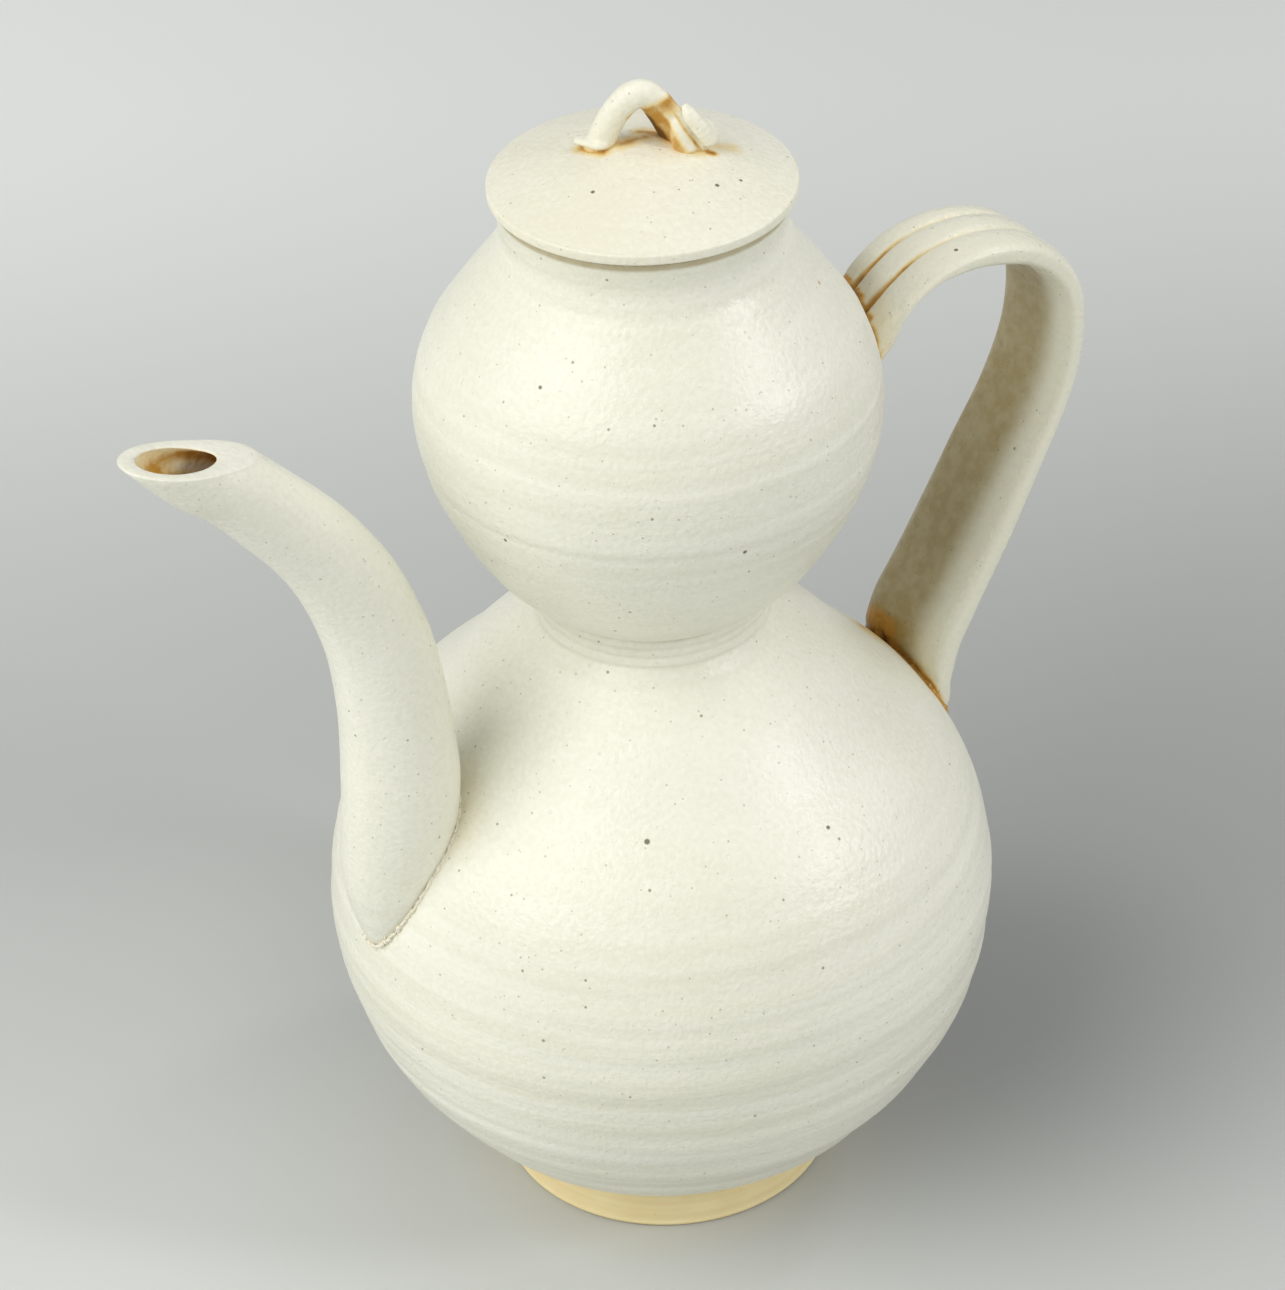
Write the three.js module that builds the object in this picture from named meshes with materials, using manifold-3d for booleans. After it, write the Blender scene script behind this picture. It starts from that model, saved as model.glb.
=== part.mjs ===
// White glazed double gourd wine ewer with a curved spout, a ridged strap handle and a lid.
// Millimetres, +Z up. The origin is the middle of the flat foot that the ewer stands on.
// The spout points to -X and the handle to +X.
import * as THREE from 'three';
import { mergeVertices } from 'three/addons/utils/BufferGeometryUtils.js';
import Module from 'manifold-3d';

const wasm = await Module();
wasm.setup();

// Fit of one piece to the next
const seamGap = 0.3;

// Foot: a low turned disc of bare clay
const footRadius = 30;
const footTopRadius = 29.2;
const footHeight = 10.5;
const footBevel = 0.9;

// Lower bulb, thrown as one hollow piece with its neck
const bellyRadius = 58.8;
const bellyHeight = 59.5;
const waistRadius = 19.9;
const waistHeight = 122.6;
const lowerWall = 4.2;
const lowerFloor = 5;

// Upper bulb, thrown separately and luted on at the waist
const waistOverhang = 0.8;
const gourdRadius = 38.9;
const gourdHeight = 158;
const mouthNeckRadius = 23.5;
const mouthNeckHeight = 191;
const mouthRadius = 24;
const mouthHeight = 196.3;
const upperWall = 3.4;

// Spout: outer radii at its root and its mouth, its reach from the axis and its mouth's height
const spoutReach = 84.9;
const spoutMouthHeight = 177;
const spoutRootHeight = 101.4;
const spoutRootRadius = 10.2;
const spoutMouthRadius = 6.3;
const spoutRootWall = 3;
const spoutMouthWall = 1.9;
const spoutMouthTilt = THREE.MathUtils.degToRad(13);
const spoutHoleRadius = 5.6;
const spoutHoleHeight = 87.5;

// Handle: a strap with three ridges, from the upper bulb over to the shoulder of the lower one
const handleReach = 85;
const handleTop = 169;
const handleFoot = 76;
const strapTopWidth = 17;
const strapFootWidth = 23.5;

// Luting clay that is pressed round each join
const lutingWidth = 1.5;
const lutingHeight = 1.1;

// Lid
const lidRadius = 25;
const lidRimThickness = 1.7;
const lidEdgeBevel = 0.55;
const lidRise = 6.2;
const lidWall = 2.6;
const lidSeatLift = 0.3;
const lidFlangeClearance = 0.7;
const lidFlangeWall = 2.2;
const lidFlangeDepth = 7.5;

// Knob: a coil bent into a loop, with a short curl laid against its flattened end
const knobSpan = 15.4;
const knobHeight = 11.2;
const knobCoilRadius = 2.2;
const knobCurlRadius = 1.7;
const knobCurlLength = 5.6;
const knobCurlReach = 9.2;
const knobCurlSetback = 0.55;
const knobCurlLift = 3.6;
const knobCurlLean = THREE.MathUtils.degToRad(36);
const knobToeReach = 2.5;
const knobToeHeight = 1.2;
const knobTurn = THREE.MathUtils.degToRad(-32.5);

// Facets
const bodySides = 48;
const outerSteps = 17;
const innerSteps = 11;
const lidSides = 40;
const domeSteps = 6;
const tubeSides = 20;
const boreSides = 16;
const tubeSteps = 21;
const strapSteps = 22;
const knobSides = 12;
const knobSteps = 14;
const curlCapSteps = 3;

// Radius share from the foot to the belly, and height share from the foot to the belly
const underBellyShares = [[0, 0], [0.33, 0.107], [0.595, 0.292], [0.812, 0.497], [0.95, 0.733], [1, 1]];
// Radius share from the waist to the belly, and height share from the belly to the waist
const shoulderShares = [
  [0.967, 0.166], [0.884, 0.317], [0.728, 0.468], [0.486, 0.618], [0.298, 0.745],
  [0.144, 0.824], [0.039, 0.883], [0, 0.937], [0.003, 1],
];
// Radius share from the waist to the gourd, and height share from the waist to the gourd
const underGourdShares = [
  [0, 0], [0.153, 0.066], [0.41, 0.202], [0.672, 0.416], [0.863, 0.63], [0.973, 0.829], [1, 1],
];
// Radius share from the mouth's neck to the gourd, and height share from the gourd to the neck
const gourdTopShares = [
  [0.961, 0.176], [0.799, 0.382], [0.52, 0.576], [0.247, 0.748], [0.065, 0.879], [0, 1],
];

// Spout sections from inside the belly to past the mouth: share of the reach, share of the rise
// from the root to the mouth, share of the taper from root to mouth, width across the spout's plane
const spoutShares = [
  [0.545, -0.487, 1.55, 1.25], [0.592, -0.423, 1.28, 1.3], [0.614, -0.371, 0.92, 1.2],
  [0.622, -0.306, 0.5, 1.1], [0.618, -0.228, 0.23, 1.02], [0.61, -0.15, 0.1, 1.01],
  [0.601, 0, 0, 1], [0.602, 0.089, 0.08, 1], [0.607, 0.207, 0.18, 1], [0.62, 0.325, 0.28, 1],
  [0.643, 0.434, 0.38, 1], [0.687, 0.563, 0.52, 1], [0.753, 0.689, 0.68, 1], [0.832, 0.799, 0.8, 1],
  [0.916, 0.903, 0.9, 1.03], [1, 0.985, 1, 1.08], [1.149, 1.202, 1, 1.1],
];

// Pairs of points on the strap's outer and inner faces, from inside the upper bulb to inside the
// lower one: shares of the reach and of the rise from foot to top
const strapShares = [
  [[0.373, 0.821], [0.349, 0.711]], [[0.517, 0.924], [0.501, 0.826]], [[0.566, 0.953], [0.533, 0.89]],
  [[0.639, 0.986], [0.598, 0.937]], [[0.723, 0.999], [0.693, 0.949]], [[0.807, 0.991], [0.769, 0.939]],
  [[0.89, 0.961], [0.847, 0.913]], [[0.957, 0.906], [0.906, 0.866]], [[0.994, 0.836], [0.936, 0.812]],
  [[1, 0.755], [0.94, 0.747]], [[0.988, 0.671], [0.928, 0.673]], [[0.948, 0.571], [0.886, 0.579]],
  [[0.877, 0.44], [0.812, 0.469]], [[0.8, 0.304], [0.731, 0.344]], [[0.736, 0.206], [0.669, 0.25]],
  [[0.694, 0.133], [0.624, 0.187]], [[0.674, 0.065], [0.601, 0.133]], [[0.652, -0.015], [0.585, 0.073]],
  [[0.5, -0.19], [0.45, -0.08]],
];
// The strap's section: share of its half width, and share of the way from its middle to a face
const strapSectionShares = [
  [-1, 0.1], [-0.93, 0.62], [-0.74, 0.95], [-0.53, 0.9], [-0.36, 0.42], [-0.2, 0.88], [0, 1],
  [0.2, 0.88], [0.36, 0.42], [0.53, 0.9], [0.74, 0.95], [0.93, 0.62], [1, 0.1],
  [0.9, -0.55], [0.6, -0.9], [0, -1], [-0.6, -0.9], [-0.9, -0.55],
];

// Knob sections from the left foot over to the right one: share of the half span, share of the
// height, and the half widths in and across the knob's plane as shares of the coil's radius
const knobShares = [
  [-0.8, -0.2, 1.1, 1.1], [-0.76, 0.1, 1, 1], [-0.63, 0.38, 0.96, 0.96], [-0.4, 0.62, 0.98, 0.98],
  [-0.1, 0.785, 1.05, 1], [0.22, 0.765, 1.1, 0.9], [0.49, 0.59, 1.18, 0.72], [0.62, 0.35, 1.32, 0.6],
  [0.68, 0.1, 1.45, 0.64], [0.7, -0.2, 1.5, 0.75],
];

// Solids

function closedSolid(geometry) {
  const bare = geometry.clone();
  bare.deleteAttribute('normal');
  bare.deleteAttribute('uv');
  const merged = mergeVertices(bare);
  const index = merged.index.array;
  const triangles = [];
  for (let i = 0; i < index.length; i += 3) {
    const [a, b, c] = [index[i], index[i + 1], index[i + 2]];
    if (a !== b && b !== c && c !== a) triangles.push(a, b, c);
  }
  return new wasm.Manifold(new wasm.Mesh({
    numProp: 3,
    vertProperties: new Float32Array(merged.attributes.position.array),
    triVerts: new Uint32Array(triangles),
  }));
}

function geometryOf(solid) {
  const mesh = solid.getMesh();
  const geometry = new THREE.BufferGeometry();
  geometry.setAttribute('position', new THREE.BufferAttribute(new Float32Array(mesh.vertProperties), 3));
  geometry.setIndex(new THREE.BufferAttribute(new Uint32Array(mesh.triVerts), 1));
  geometry.computeVertexNormals();
  return geometry;
}

// A turned solid about the Z axis from radius and height pairs
function turned(profile, sides) {
  const points = profile.map(([radius, height]) => new THREE.Vector2(radius, height));
  return closedSolid(new THREE.LatheGeometry(points, sides).rotateX(Math.PI / 2));
}

// A closed skin over rings of equal count, each ring running anticlockwise round the way ahead
function skinned(rings) {
  const count = rings[0].length;
  const first = rings[0].reduce((sum, p) => sum.add(p), new THREE.Vector3()).divideScalar(count);
  const last = rings.at(-1).reduce((sum, p) => sum.add(p), new THREE.Vector3()).divideScalar(count);
  const positions = [...rings.flat(), first, last].flatMap((p) => [p.x, p.y, p.z]);
  const firstIndex = rings.length * count;
  const index = [];
  for (let side = 0; side < count; side += 1) {
    const next = (side + 1) % count;
    for (let ring = 0; ring < rings.length - 1; ring += 1) {
      const [low, high] = [ring * count, (ring + 1) * count];
      index.push(low + side, low + next, high + side, low + next, high + next, high + side);
    }
    const top = (rings.length - 1) * count;
    index.push(firstIndex, next, side, firstIndex + 1, top + side, top + next);
  }
  const geometry = new THREE.BufferGeometry();
  geometry.setAttribute('position', new THREE.Float32BufferAttribute(positions, 3));
  geometry.setIndex(index);
  return closedSolid(geometry);
}

// Smooth rows of numbers through a table's rows, one row per step
function smoothRows(rows, steps) {
  const columns = rows[0].map((_, column) => rows.map((row) => row[column]));
  return Array.from({ length: steps + 1 }, (_, step) => {
    const place = (step / steps) * (rows.length - 1);
    const row = Math.min(Math.floor(place), rows.length - 2);
    const [before, after] = [Math.max(row - 1, 0), Math.min(row + 2, rows.length - 1)];
    return columns.map((values) => catmullRom(
      place - row, values[before], values[row], values[row + 1], values[after],
    ));
  });
}

function catmullRom(t, before, from, to, after) {
  const [leave, arrive] = [(to - before) / 2, (after - from) / 2];
  return (2 * from - 2 * to + leave + arrive) * t ** 3
    + (3 * to - 3 * from - 2 * leave - arrive) * t ** 2 + leave * t + from;
}

const { lerp } = THREE.MathUtils;

// The row of points moved square to itself, to the right of its own direction
function offsetRow(row, distance, closed = false) {
  const count = row.length;
  return row.map(([across, along], i) => {
    const [x0, y0] = row[closed ? (i + count - 1) % count : Math.max(i - 1, 0)];
    const [x1, y1] = row[closed ? (i + 1) % count : Math.min(i + 1, count - 1)];
    const length = Math.hypot(x1 - x0, y1 - y0);
    return [across + ((y1 - y0) / length) * distance, along - ((x1 - x0) / length) * distance];
  });
}

// Body

const lowerStart = footHeight + seamGap;
const lowerRows = [
  ...underBellyShares.map(([r, h]) => [
    lerp(footTopRadius, bellyRadius, r), lerp(lowerStart, bellyHeight, h),
  ]),
  ...shoulderShares.map(([r, h]) => [
    lerp(waistRadius, bellyRadius, r), lerp(bellyHeight, waistHeight, h),
  ]),
];
const lowerOutline = smoothRows(lowerRows, outerSteps);

const upperStart = waistHeight + seamGap;
const upperRows = [
  ...underGourdShares.map(([r, h]) => [
    lerp(waistRadius + waistOverhang, gourdRadius, r), lerp(upperStart, gourdHeight, h),
  ]),
  ...gourdTopShares.map(([r, h]) => [
    lerp(mouthNeckRadius, gourdRadius, r), lerp(gourdHeight, mouthNeckHeight, h),
  ]),
  [mouthRadius, mouthHeight],
];
const upperOutline = smoothRows(upperRows, outerSteps);

// The space that a bulb takes, with a gap round it, for cutting what is luted to it
function bulbSpace(outline, gap) {
  const row = offsetRow(outline, gap);
  return turned([[0, row[0][1]], ...row, [0, row.at(-1)[1]]], bodySides);
}

function footSolid() {
  return turned([
    [0, 0], [footRadius - footBevel, 0], [footRadius, footBevel],
    [footTopRadius, footHeight], [0, footHeight],
  ], bodySides);
}

function lowerBulbSolid() {
  const floor = lowerStart + lowerFloor;
  const inner = offsetRow(smoothRows(lowerRows, innerSteps), -lowerWall)
    .filter(([, height]) => height > floor && height < waistHeight);
  const neckBore = lowerOutline.at(-1)[0] - lowerWall;
  const profile = [
    [0, lowerStart], ...lowerOutline, [neckBore, waistHeight],
    ...inner.slice(0, -1).reverse(), [inner[0][0], floor], [0, floor],
  ];
  return turned(profile, bodySides).subtract(spoutHole());
}

function upperBulbSolid() {
  const inner = offsetRow(smoothRows(upperRows, innerSteps), -upperWall).slice(1, -1);
  const waistBore = waistRadius - lowerWall;
  const mouthBore = mouthNeckRadius - upperWall;
  return turned([
    [waistBore, upperStart], ...upperOutline, [mouthBore, mouthHeight],
    ...inner.reverse().filter(([radius]) => radius > waistBore), [waistBore, upperStart],
  ], bodySides);
}

// Spout

const spoutRows = smoothRows(spoutShares, tubeSteps).map(([reach, rise, taper, across]) => ({
  x: -reach * spoutReach,
  z: lerp(spoutRootHeight, spoutMouthHeight, rise),
  radius: lerp(spoutRootRadius, spoutMouthRadius, taper),
  wall: lerp(spoutRootWall, spoutMouthWall, taper),
  across,
}));

function spoutTube(radiusOf, sides) {
  return skinned(spoutRows.map((row, i) => {
    const [from, to] = [spoutRows[Math.max(i - 1, 0)], spoutRows[Math.min(i + 1, spoutRows.length - 1)]];
    const ahead = new THREE.Vector3(to.x - from.x, 0, to.z - from.z).normalize();
    const across = new THREE.Vector3(0, 1, 0);
    const inPlane = across.clone().cross(ahead);
    const centre = new THREE.Vector3(row.x, 0, row.z);
    const radius = radiusOf(row);
    const acrossRadius = row.radius * row.across + radius - row.radius;
    return Array.from({ length: sides }, (_, side) => {
      const angle = (side / sides) * 2 * Math.PI;
      return centre.clone()
        .addScaledVector(inPlane, radius * Math.cos(angle))
        .addScaledVector(across, acrossRadius * Math.sin(angle));
    });
  }));
}

// The hole in the belly that lets the wine into the spout
function spoutHole() {
  const hole = new THREE.CylinderGeometry(spoutHoleRadius, spoutHoleRadius, bellyRadius, boreSides)
    .rotateZ(Math.PI / 2)
    .translate(-bellyRadius, 0, spoutHoleHeight);
  return closedSolid(hole);
}

// Everything above the slanting plane of the spout's mouth
function aboveMouth() {
  const block = new THREE.BoxGeometry(spoutReach, spoutReach, spoutReach)
    .translate(0, 0, spoutReach / 2)
    .rotateY(spoutMouthTilt)
    .translate(-spoutReach, 0, spoutMouthHeight);
  return closedSolid(block);
}

function spoutSolid() {
  return spoutTube((row) => row.radius, tubeSides)
    .subtract(spoutTube((row) => row.radius - row.wall, boreSides))
    .subtract(aboveMouth())
    .subtract(bulbSpace(lowerOutline, seamGap));
}

// Handle

function strap(grow) {
  const rise = handleTop - handleFoot;
  const rows = smoothRows(strapShares.map(([outer, inner]) => [...outer, ...inner]), strapSteps);
  const across = new THREE.Vector3(0, 1, 0);
  return skinned(rows.map(([outerReach, outerRise, innerReach, innerRise], i) => {
    const outer = new THREE.Vector3(outerReach * handleReach, 0, handleFoot + outerRise * rise);
    const inner = new THREE.Vector3(innerReach * handleReach, 0, handleFoot + innerRise * rise);
    const middle = outer.clone().lerp(inner, 1 / 2);
    const halfDepth = outer.distanceTo(inner) / 2;
    const outward = outer.clone().sub(inner).normalize();
    const halfWidth = lerp(strapTopWidth, strapFootWidth, i / strapSteps) / 2;
    const section = strapSectionShares.map(([width, depth]) => [width * halfWidth, depth * halfDepth]);
    return offsetRow(section, -grow, true).map(([width, depth]) => middle.clone()
      .addScaledVector(across, width)
      .addScaledVector(outward, depth)).reverse();
  }));
}

function handleSolid() {
  return strap(0)
    .subtract(bulbSpace(lowerOutline, seamGap))
    .subtract(bulbSpace(upperOutline, seamGap));
}

// A band of clay round the join of a limb and a bulb
function luting(outline, limb, grownLimb) {
  return grownLimb
    .intersect(bulbSpace(outline, seamGap + lutingHeight))
    .subtract(bulbSpace(outline, seamGap))
    .subtract(limb);
}

function spoutLutingSolid() {
  return luting(
    lowerOutline,
    spoutTube((row) => row.radius + seamGap, tubeSides),
    spoutTube((row) => row.radius + seamGap + lutingWidth, tubeSides),
  );
}

function handleLutingSolid(outline) {
  return luting(outline, strap(seamGap), strap(seamGap + lutingWidth));
}

// Lid and knob

const lidSeat = mouthHeight + lidSeatLift;
const lidEdgeTop = lidSeat + lidRimThickness;

function domeHeight(radius) {
  const domeCurveShare = 1.7;
  return lidEdgeTop + lidRise * (1 - (radius / lidRadius) ** domeCurveShare);
}

function domeRow(outerRadius, drop) {
  return Array.from({ length: domeSteps + 1 }, (_, step) => {
    const radius = outerRadius * (step / domeSteps);
    return [radius, domeHeight(radius) - drop];
  });
}

function lidSolid() {
  const flangeRadius = mouthNeckRadius - upperWall - lidFlangeClearance;
  const flangeBore = flangeRadius - lidFlangeWall;
  const flangeFoot = lidSeat - lidFlangeDepth;
  return turned([
    ...domeRow(flangeBore, lidWall),
    [flangeBore, flangeFoot], [flangeRadius, flangeFoot], [flangeRadius, lidSeat],
    [lidRadius - lidEdgeBevel, lidSeat], [lidRadius, lidSeat + lidEdgeBevel],
    [lidRadius, lidEdgeTop - lidEdgeBevel],
    ...domeRow(lidRadius - lidEdgeBevel, 0).reverse(),
  ], lidSides);
}

// The space that the lid takes, with a gap over it
function lidSpace() {
  return turned([
    [0, lidSeat], [lidRadius, lidSeat], ...domeRow(lidRadius, -seamGap).reverse(),
  ], lidSides);
}

function knobCoil(grow) {
  const across = new THREE.Vector3(0, 1, 0);
  const rows = smoothRows(knobShares, knobSteps).map(([spanShare, heightShare, inPlane, acrossShare]) => ({
    x: (spanShare * knobSpan) / 2,
    z: domeHeight(0) + heightShare * knobHeight,
    depth: inPlane * knobCoilRadius + grow,
    width: acrossShare * knobCoilRadius + grow,
  }));
  return skinned(rows.map((row, i) => {
    const [from, to] = [rows[Math.max(i - 1, 0)], rows[Math.min(i + 1, rows.length - 1)]];
    const ahead = new THREE.Vector3(to.x - from.x, 0, to.z - from.z).normalize();
    const inPlane = across.clone().cross(ahead);
    return Array.from({ length: knobSides }, (_, side) => {
      const angle = (side / knobSides) * 2 * Math.PI;
      return new THREE.Vector3(row.x, 0, row.z)
        .addScaledVector(inPlane, row.depth * Math.cos(angle))
        .addScaledVector(across, row.width * Math.sin(angle));
    });
  }));
}

// The left end of the coil, pressed flat against the lid
function knobToe() {
  const toe = new THREE.SphereGeometry(knobCoilRadius, knobSides, knobSides / 2)
    .scale(knobToeReach / knobCoilRadius, 1, knobToeHeight / knobCoilRadius)
    .translate(-knobSpan / 2, 0, domeHeight(knobSpan / 2));
  return closedSolid(toe);
}

function knobLoopSolid() {
  return knobCoil(0).add(knobToe()).subtract(lidSpace());
}

function knobCurlSolid() {
  const curl = new THREE.CapsuleGeometry(knobCurlRadius, knobCurlLength, curlCapSteps, knobSides)
    .rotateX(Math.PI / 2)
    .rotateY(-knobCurlLean)
    .translate(knobCurlReach, -knobCurlSetback, domeHeight(knobCurlReach) + knobCurlLift);
  return closedSolid(curl).subtract(knobCoil(seamGap)).subtract(lidSpace());
}

// Finishes

function finish(colour, roughness) {
  return new THREE.MeshStandardMaterial({ color: colour, roughness, metalness: 0 });
}

const bodyGlaze = finish(0xe4e4d3, 0.32);
const strapGlaze = finish(0xe0dcc2, 0.34);
const lidGlaze = finish(0xe9e7d3, 0.36);
const bareClay = finish(0xf2ddb0, 0.9);
const lutingClay = finish(0xcfae7c, 0.6);

function piece(name, solid, material) {
  const mesh = new THREE.Mesh(geometryOf(solid), material);
  mesh.name = name;
  return mesh;
}

const ewer = new THREE.Group();
ewer.add(
  piece('foot_disc', footSolid(), bareClay),
  piece('lower_bulb', lowerBulbSolid(), bodyGlaze),
  piece('upper_bulb', upperBulbSolid(), bodyGlaze),
  piece('spout', spoutSolid(), bodyGlaze),
  piece('spout_luting', spoutLutingSolid(), lutingClay),
  piece('handle_strap', handleSolid(), strapGlaze),
  piece('handle_upper_luting', handleLutingSolid(upperOutline), lutingClay),
  piece('handle_lower_luting', handleLutingSolid(lowerOutline), lutingClay),
  piece('lid', lidSolid(), lidGlaze),
);

const knob = new THREE.Group();
knob.rotation.z = knobTurn;
knob.add(
  piece('knob_loop', knobLoopSolid(), lidGlaze),
  piece('knob_curl', knobCurlSolid(), lidGlaze),
);
ewer.add(knob);

export default ewer;
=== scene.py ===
"""A white glazed double gourd ewer with a curved spout, a ridged strap handle and a lid.

Metres, +Z up. The origin is the middle of the flat foot that the ewer stands on. The spout points to
-X and the handle to +X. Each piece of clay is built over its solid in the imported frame.
"""
import math

import bmesh
import bpy
import numpy as np
from bpy.props import FloatProperty, FloatVectorProperty, IntProperty, PointerProperty
from mathutils import Matrix, Vector, kdtree


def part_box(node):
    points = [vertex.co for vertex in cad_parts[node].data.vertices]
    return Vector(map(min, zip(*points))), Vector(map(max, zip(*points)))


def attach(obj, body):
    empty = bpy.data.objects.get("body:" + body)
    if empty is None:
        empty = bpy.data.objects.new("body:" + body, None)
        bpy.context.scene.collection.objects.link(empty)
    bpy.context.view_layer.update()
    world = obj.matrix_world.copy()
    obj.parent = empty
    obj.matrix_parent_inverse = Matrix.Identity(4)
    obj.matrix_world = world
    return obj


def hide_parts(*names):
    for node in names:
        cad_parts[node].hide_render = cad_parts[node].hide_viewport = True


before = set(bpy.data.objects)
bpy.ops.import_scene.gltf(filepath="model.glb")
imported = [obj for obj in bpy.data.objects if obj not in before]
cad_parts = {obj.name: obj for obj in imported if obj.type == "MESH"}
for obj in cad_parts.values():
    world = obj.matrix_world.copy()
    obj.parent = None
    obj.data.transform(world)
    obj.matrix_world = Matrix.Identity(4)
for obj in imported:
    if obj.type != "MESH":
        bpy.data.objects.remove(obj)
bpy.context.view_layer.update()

bl_info = {
    "name": "Double gourd ewer",
    "version": (1, 0, 0),
    "blender": (4, 5, 0),
    "location": "3D View > Sidebar > Ewer",
    "description": "Makes a white glazed double gourd ewer with its spout, strap handle and lid",
    "category": "Add Mesh",
}

# The highest corners of the solids that the sizes are read from
FOOT_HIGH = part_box("foot_disc")[1]
LOWER_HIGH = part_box("lower_bulb")[1]
UPPER_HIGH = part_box("upper_bulb")[1]
STRAP_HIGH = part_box("handle_strap")[1]
LID_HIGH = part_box("lid")[1]

MM = 0.001

# Outlines of the two bulbs, as shares of their radii and heights

UNDER_BELLY_SHARES = [(0, 0), (0.33, 0.107), (0.595, 0.292), (0.812, 0.497), (0.95, 0.733), (1, 1)]
SHOULDER_SHARES = [
    (0.967, 0.166), (0.884, 0.317), (0.728, 0.468), (0.486, 0.618), (0.298, 0.745),
    (0.144, 0.824), (0.039, 0.883), (0, 0.937), (0.003, 1),
]
UNDER_GOURD_SHARES = [
    (0, 0), (0.153, 0.066), (0.41, 0.202), (0.672, 0.416), (0.863, 0.63), (0.973, 0.829), (1, 1),
]
GOURD_TOP_SHARES = [
    (0.961, 0.176), (0.799, 0.382), (0.52, 0.576), (0.247, 0.748), (0.065, 0.879), (0, 1),
]

# Share of a bulb's height, and how strong the throwing rings are there
LOWER_RING_SHARES = [(0, 0.5), (0.1, 1.35), (0.48, 1.35), (0.6, 0.75), (0.7, 0.15), (0.85, 0.08), (1, 0.05)]
UPPER_RING_SHARES = [
    (0, 0.3), (0.25, 0.4), (0.36, 0.9), (0.6, 0.9), (0.68, 0.25), (0.78, 0.2), (0.84, 0.7), (0.94, 0.7),
    (1, 0.2),
]

# Turned lines on the lower bulb's neck: drop below the waist, depth and half width
NECK_LINES = [
    (0.35 * MM, 0.50 * MM, 0.32 * MM), (2.3 * MM, 0.24 * MM, 0.28 * MM), (3.9 * MM, 0.18 * MM, 0.26 * MM),
    (5.7 * MM, 0.22 * MM, 0.34 * MM), (8.2 * MM, 0.09 * MM, 0.40 * MM),
]

# Where the painted shade in the neck's lines shows most, round the axis on the side toward the camera and
# the key lamp, and the cosines away from there between which it sets in
NECK_LINES_FACE = math.radians(-140)
NECK_LINES_FADE = (-0.6, 1)
# Deep glaze and painted shade in the lines: the most of it, and the depth of line that would hold it all
NECK_LINES_DEEP_AND_SHADE = 0.3
NECK_LINES_DEPTH = 1.2 * MM
# How the lines waver: their mean and swing, waves round the neck, and drift in radians a metre
NECK_LINES_WAVER = (0.75, 0.25, 5, 900)
# Painted shade on the mouth's neck just under the lid's edge, and where it starts and is full, up from the
# rim
RIM_PAINTED_SHADE = 0.75
RIM_SHADE_FADE = (-1.6 * MM, -1.0 * MM)

# Spout sections: share of the reach, of the rise, of the taper, and the width across
SPOUT_SHARES = [
    (0.575, -0.5, 1.7, 0.9), (0.622, -0.435, 1.3, 1.05), (0.631, -0.371, 0.92, 1.12),
    (0.626, -0.306, 0.5, 1.08), (0.618, -0.228, 0.23, 1.02), (0.61, -0.15, 0.1, 1.01),
    (0.601, 0, 0, 1), (0.602, 0.089, 0.08, 1), (0.607, 0.207, 0.18, 1), (0.62, 0.325, 0.28, 1),
    (0.643, 0.434, 0.38, 1), (0.687, 0.563, 0.52, 1), (0.753, 0.689, 0.68, 1), (0.832, 0.799, 0.8, 1),
    (0.916, 0.903, 0.9, 1.03), (1, 0.985, 1, 1.08), (1.149, 1.202, 1, 1.1),
]

# Strap: the outer face's reach and rise and the inner face's, as shares of the handle's
STRAP_SHARES = [
    (0.373, 0.821, 0.349, 0.711), (0.517, 0.924, 0.501, 0.826), (0.566, 0.953, 0.533, 0.89),
    (0.639, 0.986, 0.598, 0.937), (0.723, 0.999, 0.693, 0.949), (0.807, 0.991, 0.769, 0.939),
    (0.89, 0.961, 0.847, 0.913), (0.957, 0.906, 0.906, 0.866), (0.994, 0.836, 0.936, 0.812),
    (1, 0.755, 0.94, 0.747), (0.988, 0.671, 0.928, 0.673), (0.948, 0.571, 0.886, 0.579),
    (0.877, 0.44, 0.812, 0.469), (0.8, 0.304, 0.731, 0.344), (0.736, 0.206, 0.669, 0.25),
    (0.694, 0.133, 0.624, 0.187), (0.674, 0.065, 0.601, 0.133), (0.652, -0.015, 0.585, 0.073),
    (0.5, -0.19, 0.45, -0.08),
]
# The strap's two grooves: middle as a share of the half width, from the near edge to the far one
GROOVE_SHARES = (-0.19, 0.48)

# Knob sections: share of the half span, of the height, half widths in and across the knob's plane and
# how far back the section lies, these three as shares of the coil's radius, and its slant to the back
KNOB_SHARES = [
    (-0.93, -0.24, 1.14, 1.14, 0.7, 0), (-0.79, 0.06, 1.1, 1.08, 0.66, 0), (-0.64, 0.3, 1.08, 1.06, 0.55, 0),
    (-0.44, 0.54, 1.06, 1.05, 0.42, 0), (-0.19, 0.72, 1.08, 1.03, 0.35, 0),
    (0.08, 0.755, 1.14, 0.97, 0.35, 0.1), (0.29, 0.635, 1.26, 0.86, 0.4, 0.3),
    (0.45, 0.46, 1.4, 0.74, 0.5, 0.5), (0.6, 0.27, 1.48, 0.68, 0.65, 0.6),
    (0.74, 0.07, 1.5, 0.7, 0.75, 0.6), (0.86, -0.18, 1.5, 0.8, 0.75, 0.6),
]
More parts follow.
